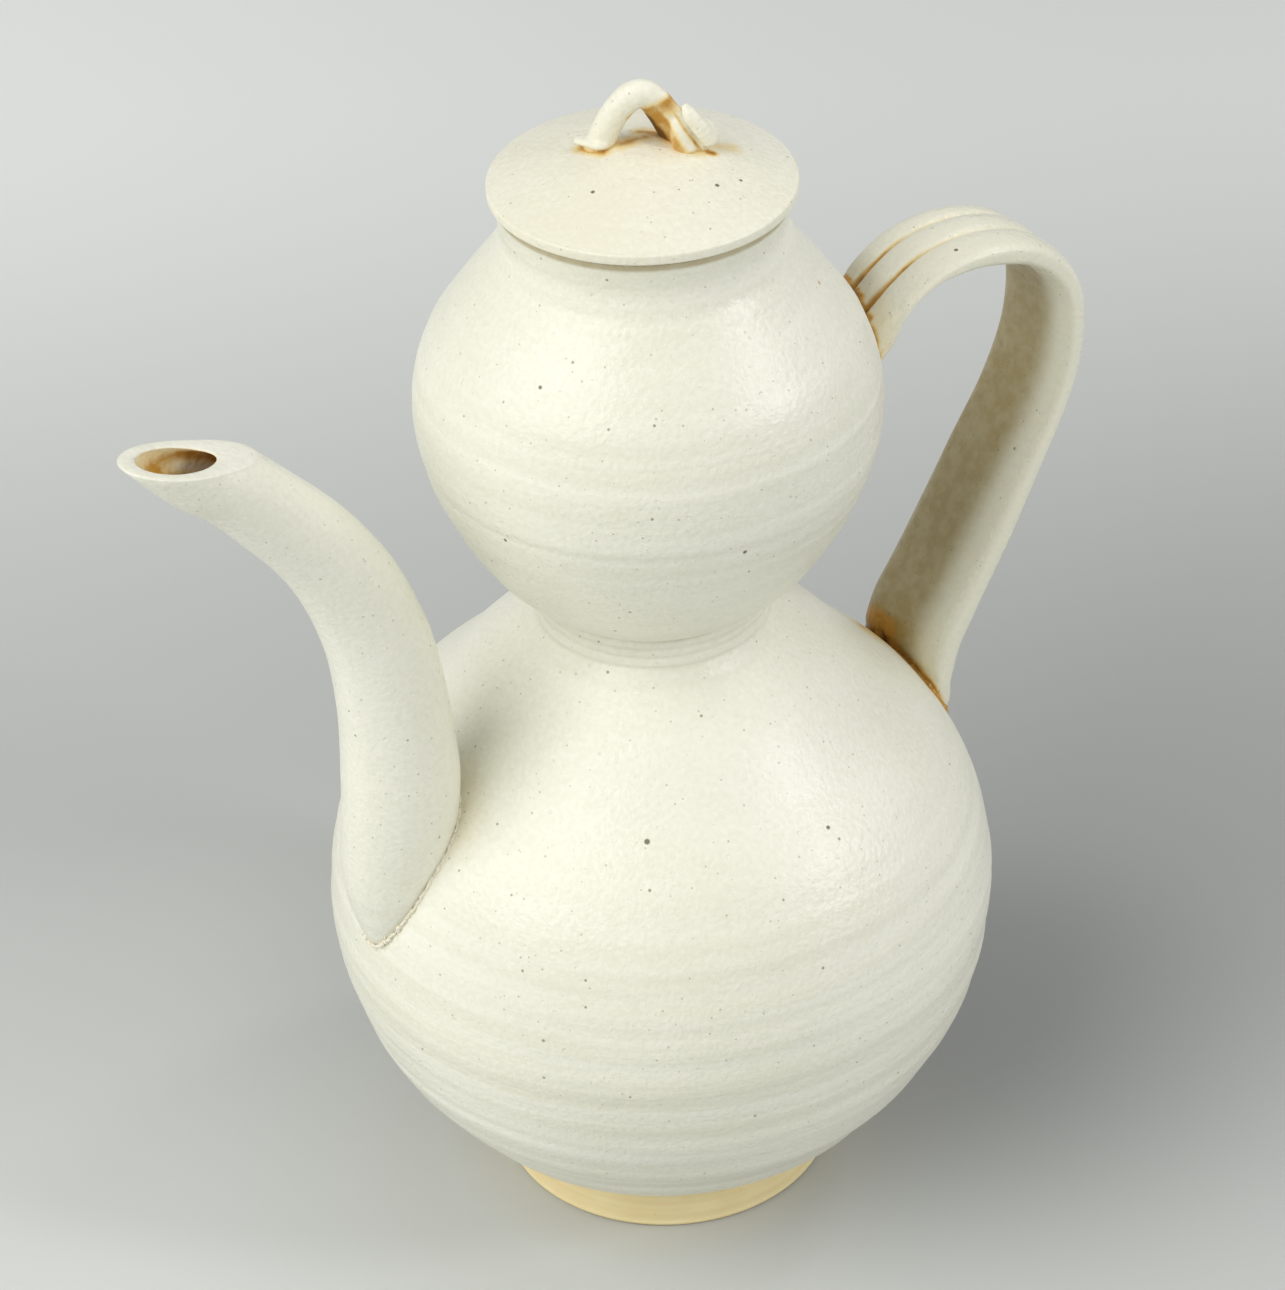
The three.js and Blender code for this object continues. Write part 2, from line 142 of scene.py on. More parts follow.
# Rows of balls along the ridge of the knob's ribbon, behind its curl, in the curl, in the curl's fold and
# in the toe: share of the half span, of the height, and the place back and the radius as shares of the
# coil's radius
RIDGE_SHARES = [(0.71, 0.46, 0.2, 0.48), (0.8, 0.24, 0.0, 0.84), (0.9, -0.06, -0.1, 0.95)]
FILL_SHARES = [(0.72, 0.46, 0.35, 0.5), (0.96, 0.2, 0.33, 0.62), (1.2, -0.06, 0.3, 0.75)]
CURL_SHARES = [
    (0.93, 0.56, -0.1, 0.38), (1.02, 0.46, -0.25, 0.58), (1.19, 0.29, -0.3, 0.68), (1.38, 0.08, -0.2, 0.66),
]
FOLD_SHARES = [(1.22, 0.38, 0.15, 0.26), (1.38, 0.26, 0.15, 0.4), (1.49, 0.1, 0.15, 0.46)]
TOE_SHARES = [(-0.85, 0.02, 0.1, 0.85), (-1.22, -0.02, 1.0, 0.66)]
# The middle line of the knob's ribbon, from its top to its foot: share of the half span, of the height,
# and the place back
RIBBON_SHARES = ((0.156, 0.74, 0), (0.96, -0.16, 0))


def length(name, description, default):
    """A size in metres that a user can change."""
    return FloatProperty(name=name, description=description, default=default, min=0, unit="LENGTH",
                         precision=5)


def colour(name, description, default):
    """A colour, as linear red, green and blue."""
    return FloatVectorProperty(name=name, description=description, default=default, size=3, min=0, max=1,
                               subtype="COLOR")


class EwerSizes(bpy.types.PropertyGroup):
    """Sizes of the ewer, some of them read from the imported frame."""

    foot_radius: length("Foot radius", "Radius of the foot where it stands", FOOT_HIGH.y)
    foot_top_radius: length("Foot top radius", "Radius of the foot under the belly", 29.2 * MM)
    foot_height: length("Foot height", "Height of the bare foot", FOOT_HIGH.z)
    belly_radius: length("Belly radius", "Largest radius of the lower bulb", LOWER_HIGH.y)
    belly_height: length("Belly height", "Height of the lower bulb's widest ring", 59.5 * MM)
    lower_wall: length("Lower wall", "Wall of the lower bulb", 4.2 * MM)
    lower_floor: length("Lower floor", "Floor of the lower bulb", 5 * MM)
    waist_radius: length("Waist radius", "Radius of the neck between the bulbs", 19.9 * MM)
    waist_height: length("Waist height", "Height of the join between the bulbs", LOWER_HIGH.z)
    waist_overhang: length("Waist overhang", "How far the upper bulb stands over the neck", 0.8 * MM)
    gourd_radius: length("Upper bulb radius", "Largest radius of the upper bulb", UPPER_HIGH.y)
    gourd_height: length("Upper bulb height", "Height of the upper bulb's widest ring", 158 * MM)
    upper_wall: length("Upper wall", "Wall of the upper bulb", 3.4 * MM)
    neck_radius: length("Mouth neck radius", "Radius of the neck under the mouth", 23.5 * MM)
    neck_height: length("Mouth neck height", "Height of the neck under the mouth", 191 * MM)
    mouth_radius: length("Mouth radius", "Radius of the mouth's rim", 24 * MM)
    mouth_height: length("Mouth height", "Height of the mouth's rim", UPPER_HIGH.z)
    ring_depth: length("Ring depth", "Depth of the throwing rings", 0.2 * MM)
    ring_pitch: length("Ring pitch", "Height from one throwing ring to the next", 6.5 * MM)

    spout_reach: length("Spout reach", "Reach of the spout's mouth from the axis", 84.9 * MM)
    spout_mouth_height: length("Spout mouth height", "Height of the spout's mouth", 177 * MM)
    spout_root_height: length("Spout root height", "Height where the spout leaves the belly", 101.4 * MM)
    spout_root_radius: length("Spout root radius", "Outer radius of the spout at its root", 10.2 * MM)
    spout_mouth_radius: length("Spout mouth radius", "Outer radius of the spout at its mouth", 6.3 * MM)
    spout_root_wall: length("Spout root wall", "Wall of the spout at its root", 3 * MM)
    spout_mouth_wall: length("Spout mouth wall", "Wall of the spout at its mouth", 2.5 * MM)
    spout_sway: length("Spout sway", "How far the spout's lowest tip leans to one side", 2.2 * MM)
    spout_bore_shift: length("Bore shift", "How far the bore lies off the spout's middle", 0.6 * MM)
    spout_lip: length("Spout lip", "Rise of the rounded lip", 0.5 * MM)
    spout_mouth_tilt: FloatProperty(name="Mouth tilt", description="Tilt of the spout's mouth",
                                    default=math.radians(13), subtype="ANGLE")

    handle_reach: length("Handle reach", "Reach of the handle from the axis", STRAP_HIGH.x)
    handle_top: length("Handle top", "Height of the handle's arch", 169 * MM)
    handle_foot: length("Handle foot", "Height where the handle meets the belly", 76 * MM)
    strap_top_width: length("Strap top width", "Width of the strap at its upper end", 17 * MM)
    strap_foot_width: length("Strap foot width", "Width of the strap at its lower end", 23.5 * MM)

    bead_radius: length("Bead radius", "Radius of the clay pressed round a join", 0.6 * MM)
    crumb_size: length("Crumb size", "Radius of the crumbs of clay along a join", 0.4 * MM)

    lid_radius: length("Lid radius", "Radius of the lid", LID_HIGH.y)
    lid_rim: length("Lid rim", "Thickness of the lid's rim", 1.7 * MM)
    lid_edge: length("Lid edge", "Rounding of the lid's rim", 0.45 * MM)
    lid_rise: length("Lid rise", "Rise of the lid's dome", 6.2 * MM)
    lid_wall: length("Lid wall", "Wall of the lid", 2.6 * MM)
    lid_seat: length("Lid seat", "Gap between the mouth and the lid's rim", 0.3 * MM)
    flange_clearance: length("Flange clearance", "Room between the lid's flange and the mouth", 0.7 * MM)
    flange_wall: length("Flange wall", "Wall of the lid's flange", 2.2 * MM)
    flange_depth: length("Flange depth", "Depth of the lid's flange", 7.5 * MM)

    knob_span: length("Knob span", "Width of the knob's loop", 15.4 * MM)
    knob_height: length("Knob height", "Height of the knob's loop", 11.2 * MM)
    knob_coil: length("Knob coil", "Radius of the rolled coil", 2.2 * MM)
    knob_turn: FloatProperty(name="Knob turn", description="Turn of the knob on the lid",
                             default=math.radians(-32.5), subtype="ANGLE")

    sides: IntProperty(name="Turned sides", description="Steps round a turned piece", default=256, min=24)


class EwerColours(bpy.types.PropertyGroup):
    """Colours of the glazes, the clay and the floor, in linear values."""

    glaze: colour("Glaze", "Glaze on the bulbs and the spout", (0.89, 0.88, 0.765))
    glaze_deep: colour("Deep glaze", "Glaze where it lies thicker", (0.80, 0.79, 0.65))
    strap: colour("Strap glaze", "Glaze on the handle", (0.86, 0.83, 0.67))
    # Also the colour of painted shade: on the strap's inner face and root, in the neck's lines, under the
    # lid's edge and in the spout's seam
    deep_glaze_and_shade_tint: colour("Deep strap glaze", "Thicker glaze on the handle's inner face", (0.40, 0.32, 0.15))
    lid: colour("Lid glaze", "Glaze on the lid and its knob", (0.91, 0.89, 0.765))
    lid_deep: colour("Deep lid glaze", "Thicker glaze on the lid", (0.82, 0.79, 0.63))
    amber: colour("Amber", "Glaze pooled in a groove", (0.53, 0.27, 0.035))
    umber: colour("Umber", "Glaze pooled deep in a join", (0.15, 0.066, 0.012))
    straw: colour("Straw", "Thin edge of pooled glaze", (0.98, 0.82, 0.52))
    speck: colour("Speck", "Iron specks", (0.20, 0.18, 0.11))
    clay: colour("Bare clay", "Unglazed clay of the foot", (0.92, 0.79, 0.45))
    clay_deep: colour("Deep bare clay", "Darker bands of the bare clay", (0.86, 0.69, 0.36))
    floor: colour("Floor", "Pale floor", (0.45, 0.46, 0.445))


# Node trees

# Throwing rings: where their noise starts to sink the clay and where it sinks it fully
RING_RAMP = (0.38, 0.6)
# Each set of rings: its depth and its pitch, as shares of the sizes given
RING_SETS = ((1.0, 1.0), (0.4, 0.36))
# Dents: where their noise starts to sink the clay and where it sinks it fully
DENT_RAMP = (0.12, 0.88)
# Pressed beads: step along the line, sides, features a metre of their wander and of their swelling,
# and the least and the most of the swelling
BEAD_STEP = 0.2 * MM
BEAD_SIDES = 10
WANDER_SCALE = 1300.0
SWELLING_NOISE = (1100.0, 2.0, 3.0)
SWELLING = (0.5, 1.4)
# Crumbs beside a bead: how far they stray from its line, and their least and largest scale
CRUMB_STRAY = 0.6 * MM
CRUMB_SCALES = ((0.4, 0.4, 0.4), (1.3, 1.1, 0.9))


class Graph:
    """A node tree written as calls: each call adds a node and fills its sockets."""

    def __init__(self, tree):
        self.tree = tree
        tree.nodes.clear()

    def node(self, kind, inputs=None, **settings):
        """A node of that kind, with its settings and its sockets by name or place."""
        node = self.tree.nodes.new(kind)
        for name, value in settings.items():
            setattr(node, name, value)
        for place, value in (inputs or {}).items():
            if isinstance(value, bpy.types.NodeSocket):
                self.tree.links.new(value, node.inputs[place])
            else:
                node.inputs[place].default_value = value
        return node

    def sum(self, operation, *values):
        """The result of one arithmetic node."""
        return self.node("ShaderNodeMath", dict(enumerate(values)), operation=operation).outputs[0]

    def total(self, *values):
        """The values added up."""
        result = values[0]
        for value in values[1:]:
            result = self.sum("ADD", result, value)
        return result

    def vector(self, operation, first, second, place=1):
        """The result of one vector node, whose second value goes into the socket at place."""
        node = self.node("ShaderNodeVectorMath", {0: first, place: second}, operation=operation)
        return node.outputs[0]

    def ramp(self, value, low, high, start=0.0, end=1.0):
        """The value carried smoothly from one range to another and held at its ends."""
        inputs = {"Value": value, "From Min": low, "From Max": high, "To Min": start, "To Max": end}
        return self.node("ShaderNodeMapRange", inputs, interpolation_type="SMOOTHSTEP").outputs[0]

    def mix(self, share, first, second, blend="MIX"):
        """A colour between two colours."""
        inputs = {"Factor": share, 6: first, 7: second}
        return self.node("ShaderNodeMix", inputs, data_type="RGBA", blend_type=blend).outputs[2]

    def noise(self, place, scale, detail=2.0, seed=0.0):
        """Smooth noise from 0 to 1 at that many features a metre."""
        inputs = {"Vector": place, "W": seed, "Scale": scale, "Detail": detail}
        return self.node("ShaderNodeTexNoise", inputs, noise_dimensions="4D").outputs[0]

    def lines(self, place, drawn, pitch, drift, detail=1.0, seed=0.0):
        """Noise drawn out into lines: their coordinate across, their pitch and their drift along."""
        parts = self.node("ShaderNodeSeparateXYZ", {0: place}).outputs
        along = [self.sum("MULTIPLY", parts[axis], drift) for axis in (0, 1)]
        across = self.sum("DIVIDE", drawn, pitch)
        spun = self.node("ShaderNodeCombineXYZ", {0: along[0], 1: along[1], 2: across}).outputs[0]
        return self.noise(spun, 1.0, detail, seed)


def solid_colour(values):
    return (*values, 1.0)


def new_geometry_tree(name, inputs):
    """A tree for a modifier, with its inputs as name, socket type and default."""
    tree = bpy.data.node_groups.new(name, "GeometryNodeTree")
    graph = Graph(tree)
    tree.interface.new_socket("Geometry", in_out="INPUT", socket_type="NodeSocketGeometry")
    tree.interface.new_socket("Geometry", in_out="OUTPUT", socket_type="NodeSocketGeometry")
    for label, kind, default in inputs:
        socket = tree.interface.new_socket(label, in_out="INPUT", socket_type=kind)
        if default is not None:
            socket.default_value = default
    return graph, graph.node("NodeGroupInput").outputs


def finish_tree(graph, geometry, material):
    """Ends a tree in smooth, real faces of one material."""
    smooth = graph.node("GeometryNodeSetShadeSmooth", {"Geometry": geometry})
    real = graph.node("GeometryNodeRealizeInstances", {"Geometry": smooth.outputs[0]})
    coated = graph.node("GeometryNodeSetMaterial", {"Geometry": real.outputs[0], "Material": material})
    graph.node("NodeGroupOutput", {"Geometry": coated.outputs[0]})
    return graph.tree


def plain(piece):
    """Keeps what a piece's modifiers make as its plain mesh."""
    depsgraph = bpy.context.evaluated_depsgraph_get()
    mesh = bpy.data.meshes.new_from_object(
        piece.evaluated_get(depsgraph), preserve_all_data_layers=True, depsgraph=depsgraph)
    piece.modifiers.clear()
    piece.data = mesh
    mesh.name = piece.name
    return piece


def with_tree(piece, tree, **values):
    """Runs a tree on a piece and keeps the result as the piece's plain mesh."""
    modifier = piece.modifiers.new(tree.name, "NODES")
    modifier.node_group = tree
    wanted = {name.replace("_", " ").lower(): value for name, value in values.items()}
    for item in tree.interface.items_tree:
        if item.in_out == "INPUT" and item.name.lower() in wanted:
            modifier[item.identifier] = wanted[item.name.lower()]
    return plain(piece)


def turned_clay_tree():
    """Turns an outline about the Z axis and presses throwing rings into it."""
    name = "Turned clay"
    if name in bpy.data.node_groups:
        return bpy.data.node_groups[name]
    graph, inlet = new_geometry_tree(name, [
        ("Sides", "NodeSocketInt", 256), ("Spine Radius", "NodeSocketFloat", 10 * MM),
        ("Ring Depth", "NodeSocketFloat", 0.0), ("Ring Pitch", "NodeSocketFloat", 6 * MM),
        ("Ring Drift", "NodeSocketFloat", 8.0), ("Seed", "NodeSocketFloat", 0.0),
        ("Material", "NodeSocketMaterial", None),
    ])
    outline = graph.node("GeometryNodeMeshToCurve", {"Mesh": inlet["Geometry"]})
    circle = graph.node("GeometryNodeCurvePrimitiveCircle",
                        {"Resolution": inlet["Sides"], "Radius": inlet["Spine Radius"]})
    upright = graph.node("GeometryNodeSetCurveNormal", {"Curve": circle.outputs[0]}, mode="Z_UP")
    swept = graph.node("GeometryNodeCurveToMesh",
                       {"Curve": upright.outputs[0], "Profile Curve": outline.outputs[0]})
    outward = graph.node("GeometryNodeFlipFaces", {"Mesh": swept.outputs[0]})
    closed = graph.node("GeometryNodeMergeByDistance", {"Geometry": outward.outputs[0], "Distance": 1e-6})

    place = graph.node("GeometryNodeInputPosition").outputs[0]
    drawn, rings = (
        graph.node("GeometryNodeInputNamedAttribute", {"Name": label}, data_type="FLOAT").outputs[0]
        for label in ("drawn", "rings"))
    hollows = []
    for share, pitch_share in RING_SETS:
        pitch = graph.sum("MULTIPLY", inlet["Ring Pitch"], pitch_share)
        line = graph.lines(place, drawn, pitch, inlet["Ring Drift"], 0.0, inlet["Seed"])
        hollows.append(graph.sum("MULTIPLY", graph.ramp(line, *RING_RAMP), share))
    depth = graph.sum("MULTIPLY", graph.sum("MULTIPLY", graph.total(*hollows), inlet["Ring Depth"]), rings)
    normal = graph.node("GeometryNodeInputNormal").outputs[0]
    inward = graph.vector("SCALE", normal, graph.sum("MULTIPLY", depth, -1.0), 3)
    pressed = graph.node("GeometryNodeSetPosition", {"Geometry": closed.outputs[0], "Offset": inward})
    return finish_tree(graph, pressed.outputs[0], inlet["Material"])


def worked_clay_tree():
    """Dents a hand-formed piece a little, inwards only."""
    name = "Worked clay"
    if name in bpy.data.node_groups:
        return bpy.data.node_groups[name]
    graph, inlet = new_geometry_tree(name, [
        ("Dent Depth", "NodeSocketFloat", 0.2 * MM), ("Dents A Metre", "NodeSocketFloat", 90.0),
        ("Seed", "NodeSocketFloat", 0.0), ("Material", "NodeSocketMaterial", None),
    ])
    place = graph.node("GeometryNodeInputPosition").outputs[0]
    dent = graph.ramp(graph.noise(place, inlet["Dents A Metre"], 1.0, inlet["Seed"]), *DENT_RAMP)
    normal = graph.node("GeometryNodeInputNormal").outputs[0]
    depth = graph.sum("MULTIPLY", graph.sum("MULTIPLY", dent, inlet["Dent Depth"]), -1.0)
    moved = graph.node("GeometryNodeSetPosition",
                       {"Geometry": inlet["Geometry"], "Offset": graph.vector("SCALE", normal, depth, 3)})
    return finish_tree(graph, moved.outputs[0], inlet["Material"])


def pressed_bead_tree():
    """A bead of clay along a closed line, with crumbs left beside it."""
    name = "Pressed bead"
    if name in bpy.data.node_groups:
        return bpy.data.node_groups[name]
    graph, inlet = new_geometry_tree(name, [
        ("Bead Radius", "NodeSocketFloat", 0.7 * MM), ("Wander", "NodeSocketFloat", 0.5 * MM),
        ("Crumb Size", "NodeSocketFloat", 0.4 * MM), ("Crumb Spacing", "NodeSocketFloat", 1.4 * MM),
        ("Seed", "NodeSocketInt", 0), ("Material", "NodeSocketMaterial", None),
    ])
    line = graph.node("GeometryNodeMeshToCurve", {"Mesh": inlet["Geometry"]}).outputs[0]
    fine = graph.node("GeometryNodeResampleCurve", {"Curve": line, "Length": BEAD_STEP}, mode="LENGTH")
    place = graph.node("GeometryNodeInputPosition").outputs[0]
    stray = graph.node("ShaderNodeTexNoise", {"Vector": place, "Scale": WANDER_SCALE, "Detail": 2.0})
    centred = graph.vector("SUBTRACT", stray.outputs[1], (0.5, 0.5, 0.5))
    offset = graph.vector("SCALE", centred, inlet["Wander"], 3)
    strayed = graph.node("GeometryNodeSetPosition", {"Geometry": fine.outputs[0], "Offset": offset})
    swell = graph.ramp(graph.noise(place, *SWELLING_NOISE), 0.3, 0.7, *SWELLING)
    section = graph.node("GeometryNodeCurvePrimitiveCircle",
                         {"Resolution": BEAD_SIDES, "Radius": inlet["Bead Radius"]})
    bead = graph.node("GeometryNodeCurveToMesh", {
        "Curve": strayed.outputs[0], "Profile Curve": section.outputs[0], "Scale": swell})
    spots = graph.node("GeometryNodeResampleCurve", {"Curve": line, "Length": inlet["Crumb Spacing"]},
                       mode="LENGTH")
    crumb = graph.node("GeometryNodeMeshIcoSphere", {"Radius": inlet["Crumb Size"], "Subdivisions": 2})
    sizes = graph.node("FunctionNodeRandomValue", {
        "Min": CRUMB_SCALES[0], "Max": CRUMB_SCALES[1], "Seed": inlet["Seed"]}, data_type="FLOAT_VECTOR")
    jitter = graph.node("FunctionNodeRandomValue", {
        "Min": (-CRUMB_STRAY,) * 3, "Max": (CRUMB_STRAY,) * 3, "Seed": inlet["Seed"]},
        data_type="FLOAT_VECTOR")
    spread = graph.node("GeometryNodeSetPosition",
                        {"Geometry": spots.outputs[0], "Offset": jitter.outputs[0]})
    crumbs = graph.node("GeometryNodeInstanceOnPoints", {
        "Points": spread.outputs[0], "Instance": crumb.outputs[0], "Scale": sizes.outputs[0]})
    both = graph.node("GeometryNodeJoinGeometry")
    graph.tree.links.new(crumbs.outputs[0], both.inputs[0])
    graph.tree.links.new(bead.outputs[0], both.inputs[0])
    return finish_tree(graph, both.outputs[0], inlet["Material"])


# Glazes and clays

# Specks: their cells' size, their largest radius, the share of cells with one, and their strength, which
# is below nought where they sink the glaze
FINE_SPECKS = (1.7 * MM, 0.28 * MM, 0.6, 0.42)
BOLD_SPECKS = (3.3 * MM, 0.38 * MM, 0.45, 0.75)
RUST_SPECKS = (11.0 * MM, 0.5 * MM, 0.4, 0.7)
PINHOLES = (2.6 * MM, 0.4 * MM, 0.6, -0.4)
CLAY_GRAINS = (1.5 * MM, 0.22 * MM, 0.5, 0.35)
# The smallest speck as a share of the largest, and the share of a speck that is full
SMALLEST_SPECK = 0.35
SPECK_CORE = 0.5
SINGLE_SPECK_CORE = 0.6

# Noises: features a metre, detail and seed
GRAIN_NOISE = (1000.0, 4.0, 5.0)
CLOUD_NOISE = (22.0, 3.0, 1.0)
MOTTLE_NOISE = (400.0, 4.0, 9.0)
RAGGED_NOISE = (420.0, 4.0, 2.0)
SWELL_NOISE = (240.0, 2.0, 6.0)
SHINE_NOISE = (60.0, 2.0, 7.0)
CLAY_CLOUD_NOISE = (90.0, 3.0, 3.0)
GRIT_NOISE = (2200.0, 3.0, 5.0)
# The middle part of a noise's range, over which a change runs from none to full
NOISE_MIDDLE = (0.3, 0.7)

# Tool marks, drawn out along the turning: pitch, drift, detail and seed
STREAKS = (2.6 * MM, 9.0, 2.0, 4.0)
TOOL_MARKS = (0.8 * MM, 12.0, 2.0, 8.0)
# Turning lines in the bare clay: how much closer noise lies along each axis, and the noise
CLAY_LINES = ((20.0, 20.0, 900.0), (1.0, 2.0, 2.0))

# The sums of the cloudy noises at which the deep colour starts to show and shows fully
GLAZE_DEPTH = (1.1, 1.75)
CLAY_DEPTH = (0.7, 1.35)
# The least and the most of the mottle in the deep glaze, and how ragged the pooled glaze is
MOTTLE = (0.9, 1.08)
RAGGEDNESS = 1.3
# Values of pool over which it turns to straw, then to amber, then to umber
STRAW_POOL = (0.0, 0.35)
AMBER_POOL = (0.28, 0.62)
UMBER_POOL = (0.62, 0.95)

# Shares of the grain, the swells and the tool marks in the glaze's relief, and of grit and lines in clay
GRAIN_SHARE, SWELL_SHARE, MARK_SHARE = 0.8, 0.5, 0.22
GRIT_SHARE, LINE_SHARE = 0.5, 0.6
GLAZE_RELIEF = {"Strength": 0.55, "Distance": 0.45 * MM}
CLAY_RELIEF = {"Strength": 0.5, "Distance": 0.25 * MM}

# Roughness, and how far the shine of a glaze strays below and above it
BODY_ROUGHNESS, STRAP_ROUGHNESS, LID_ROUGHNESS = 0.33, 0.25, 0.4
CLAY_ROUGHNESS, FLOOR_ROUGHNESS = 0.85, 0.9
SHINIER, DULLER = 0.04, 0.06
GLAZE_IOR = 1.5


def specks(graph, place, spacing, radius, share, strength):
    """A mask of round specks, as strong as given and nothing between them."""
    cells = graph.node("ShaderNodeTexVoronoi", {"Vector": place, "Scale": 1 / spacing})
    chance = graph.node("ShaderNodeSeparateColor", {"Color": cells.outputs["Color"]})
    reach = graph.sum("MULTIPLY", graph.ramp(chance.outputs[0], 0, 1, SMALLEST_SPECK, 1), radius / spacing)
    spot = graph.ramp(cells.outputs["Distance"], graph.sum("MULTIPLY", reach, SPECK_CORE), reach, 1, 0)
    shown = graph.sum("MULTIPLY", spot, graph.sum("LESS_THAN", chance.outputs[1], share))
    return graph.sum("MULTIPLY", shown, strength)


def new_material(name):
    """A material, its graph and the place of its points."""
    material = bpy.data.materials.new(name)
    material.use_nodes = True
    graph = Graph(material.node_tree)
    return material, graph, graph.node("ShaderNodeTexCoord").outputs["Object"]


def finish_material(graph, **inputs):
    """Ends a material in one surface, with its sockets by name."""
    surface = graph.node("ShaderNodeBsdfPrincipled",
                         {name.replace("_", " "): value for name, value in inputs.items()})
    graph.node("ShaderNodeOutputMaterial", {"Surface": surface.outputs[0]})


def glaze(name, base, deep, roughness, spots=()):
    """A satin glaze with iron specks, pinholes, cloudy depth and tool marks, stained where it pooled.

    The points' values say where: the pool value is stained glaze, and also painted shade beside the spout's
    root, down its bore, under the knob's arch and where the upper bulb hides the strap; the deep glaze value
    is deep glaze and painted shade on the strap's inner face and root and in the neck's lines, and painted
    shade at the mouth's rim under the lid's edge and in the spout's seam; rings the strength of tool marks
    and drawn the place across them. Spots are single dark specks.
    """
    if name in bpy.data.materials:
        return bpy.data.materials[name]
    colours = bpy.context.scene.ewer_colours
    material, graph, place = new_material(name)
    pool, thick, rings, drawn = (graph.node("ShaderNodeAttribute", attribute_name=label).outputs["Fac"]
                                 for label in ("pool", "thick", "rings", "drawn"))

    streak = graph.lines(place, drawn, *STREAKS)
    streak = graph.total(0.5, graph.sum("MULTIPLY", graph.sum("SUBTRACT", streak, 0.5), rings))
    grain = graph.sum("MULTIPLY", graph.noise(place, *GRAIN_NOISE), GRAIN_SHARE)
    depth = graph.ramp(graph.total(graph.noise(place, *CLOUD_NOISE), streak, grain), *GLAZE_DEPTH)
    skin = graph.mix(depth, solid_colour(base), solid_colour(deep))
    mottle = graph.ramp(graph.noise(place, *MOTTLE_NOISE), *NOISE_MIDDLE, *MOTTLE)
    # Deep glaze and painted shade, mottled, in the deep strap colour
    skin = graph.mix(graph.sum("MULTIPLY", thick, mottle), skin, solid_colour(colours.deep_glaze_and_shade_tint))

    ragged = graph.sum("SUBTRACT", graph.noise(place, *RAGGED_NOISE), 0.5)
    ragged = graph.sum("MULTIPLY", ragged, RAGGEDNESS)
    pool = graph.total(pool, graph.sum("MULTIPLY", ragged, pool))
    skin = graph.mix(graph.ramp(pool, *STRAW_POOL), skin, solid_colour(colours.straw), "MULTIPLY")
    skin = graph.mix(graph.ramp(pool, *AMBER_POOL), skin, solid_colour(colours.amber))
    skin = graph.mix(graph.ramp(pool, *UMBER_POOL), skin, solid_colour(colours.umber))

    dots = graph.sum("MAXIMUM", specks(graph, place, *FINE_SPECKS), specks(graph, place, *BOLD_SPECKS))
    for centre, radius in spots:
        away = graph.node("ShaderNodeVectorMath", {0: place, 1: centre}, operation="DISTANCE").outputs[1]
        dots = graph.sum("MAXIMUM", dots, graph.ramp(away, SINGLE_SPECK_CORE * radius, radius, 1, 0))
    skin = graph.mix(dots, skin, solid_colour(colours.speck))
    skin = graph.mix(specks(graph, place, *RUST_SPECKS), skin, solid_colour(colours.amber))

    swells = graph.sum("MULTIPLY", graph.noise(place, *SWELL_NOISE), SWELL_SHARE)
    marks = graph.sum("MULTIPLY", graph.lines(place, drawn, *TOOL_MARKS), rings)
    marks = graph.sum("MULTIPLY", marks, MARK_SHARE)
    relief = graph.total(grain, swells, marks, specks(graph, place, *PINHOLES))
    bump = graph.node("ShaderNodeBump", {"Height": relief, **GLAZE_RELIEF})
    shine = graph.ramp(graph.noise(place, *SHINE_NOISE), *NOISE_MIDDLE,
                       roughness - SHINIER, roughness + DULLER)
    finish_material(graph, Base_Color=skin, Roughness=shine, Normal=bump.outputs[0], IOR=GLAZE_IOR)
    return material


def bare_clay():
    """Matt unglazed clay with turning marks."""
    name = "bare clay"
    if name in bpy.data.materials:
        return bpy.data.materials[name]
    colours = bpy.context.scene.ewer_colours
    material, graph, place = new_material(name)
    scale, noise = CLAY_LINES
    drawn = graph.node("ShaderNodeMapping", {"Vector": place, "Scale": scale}).outputs[0]
    lines = graph.noise(drawn, *noise)
    depth = graph.ramp(graph.sum("ADD", lines, graph.noise(place, *CLAY_CLOUD_NOISE)), *CLAY_DEPTH)
    skin = graph.mix(depth, solid_colour(colours.clay), solid_colour(colours.clay_deep))
    skin = graph.mix(specks(graph, place, *CLAY_GRAINS), skin, solid_colour(colours.amber))
    grit = graph.sum("MULTIPLY", graph.noise(place, *GRIT_NOISE), GRIT_SHARE)
    relief = graph.sum("ADD", grit, graph.sum("MULTIPLY", lines, LINE_SHARE))
    bump = graph.node("ShaderNodeBump", {"Height": relief, **CLAY_RELIEF})
    finish_material(graph, Base_Color=skin, Roughness=CLAY_ROUGHNESS, Normal=bump.outputs[0])
    return material


# A single dark speck on the strap: centre and radius
STRAP_SPOT = ((58.5 * MM, -5.75 * MM, 168.3 * MM), 0.45 * MM)
# Single dark specks on the bulbs: direction round the axis in degrees, height and radius
LOWER_SPOTS = [(-125.5, 96.5 * MM, 0.6 * MM), (-83, 93.3 * MM, 0.45 * MM), (-95.5, 50.9 * MM, 0.4 * MM)]
UPPER_SPOTS = [(-99.5, 149.5 * MM, 0.5 * MM), (-154.5, 176.5 * MM, 0.4 * MM), (-161, 149.5 * MM, 0.45 * MM)]
# Single dark specks on the lid, in the knob's own frame: place to the right and back, and radius
LID_SPOTS = [
    (-7.8 * MM, -11.2 * MM, 0.42 * MM), (11.7 * MM, -9.4 * MM, 0.46 * MM), (15.5 * MM, -6.9 * MM, 0.36 * MM),
]


def body_glaze():
    colours = bpy.context.scene.ewer_colours
    return glaze("body glaze", colours.glaze, colours.glaze_deep, BODY_ROUGHNESS, body_spots())


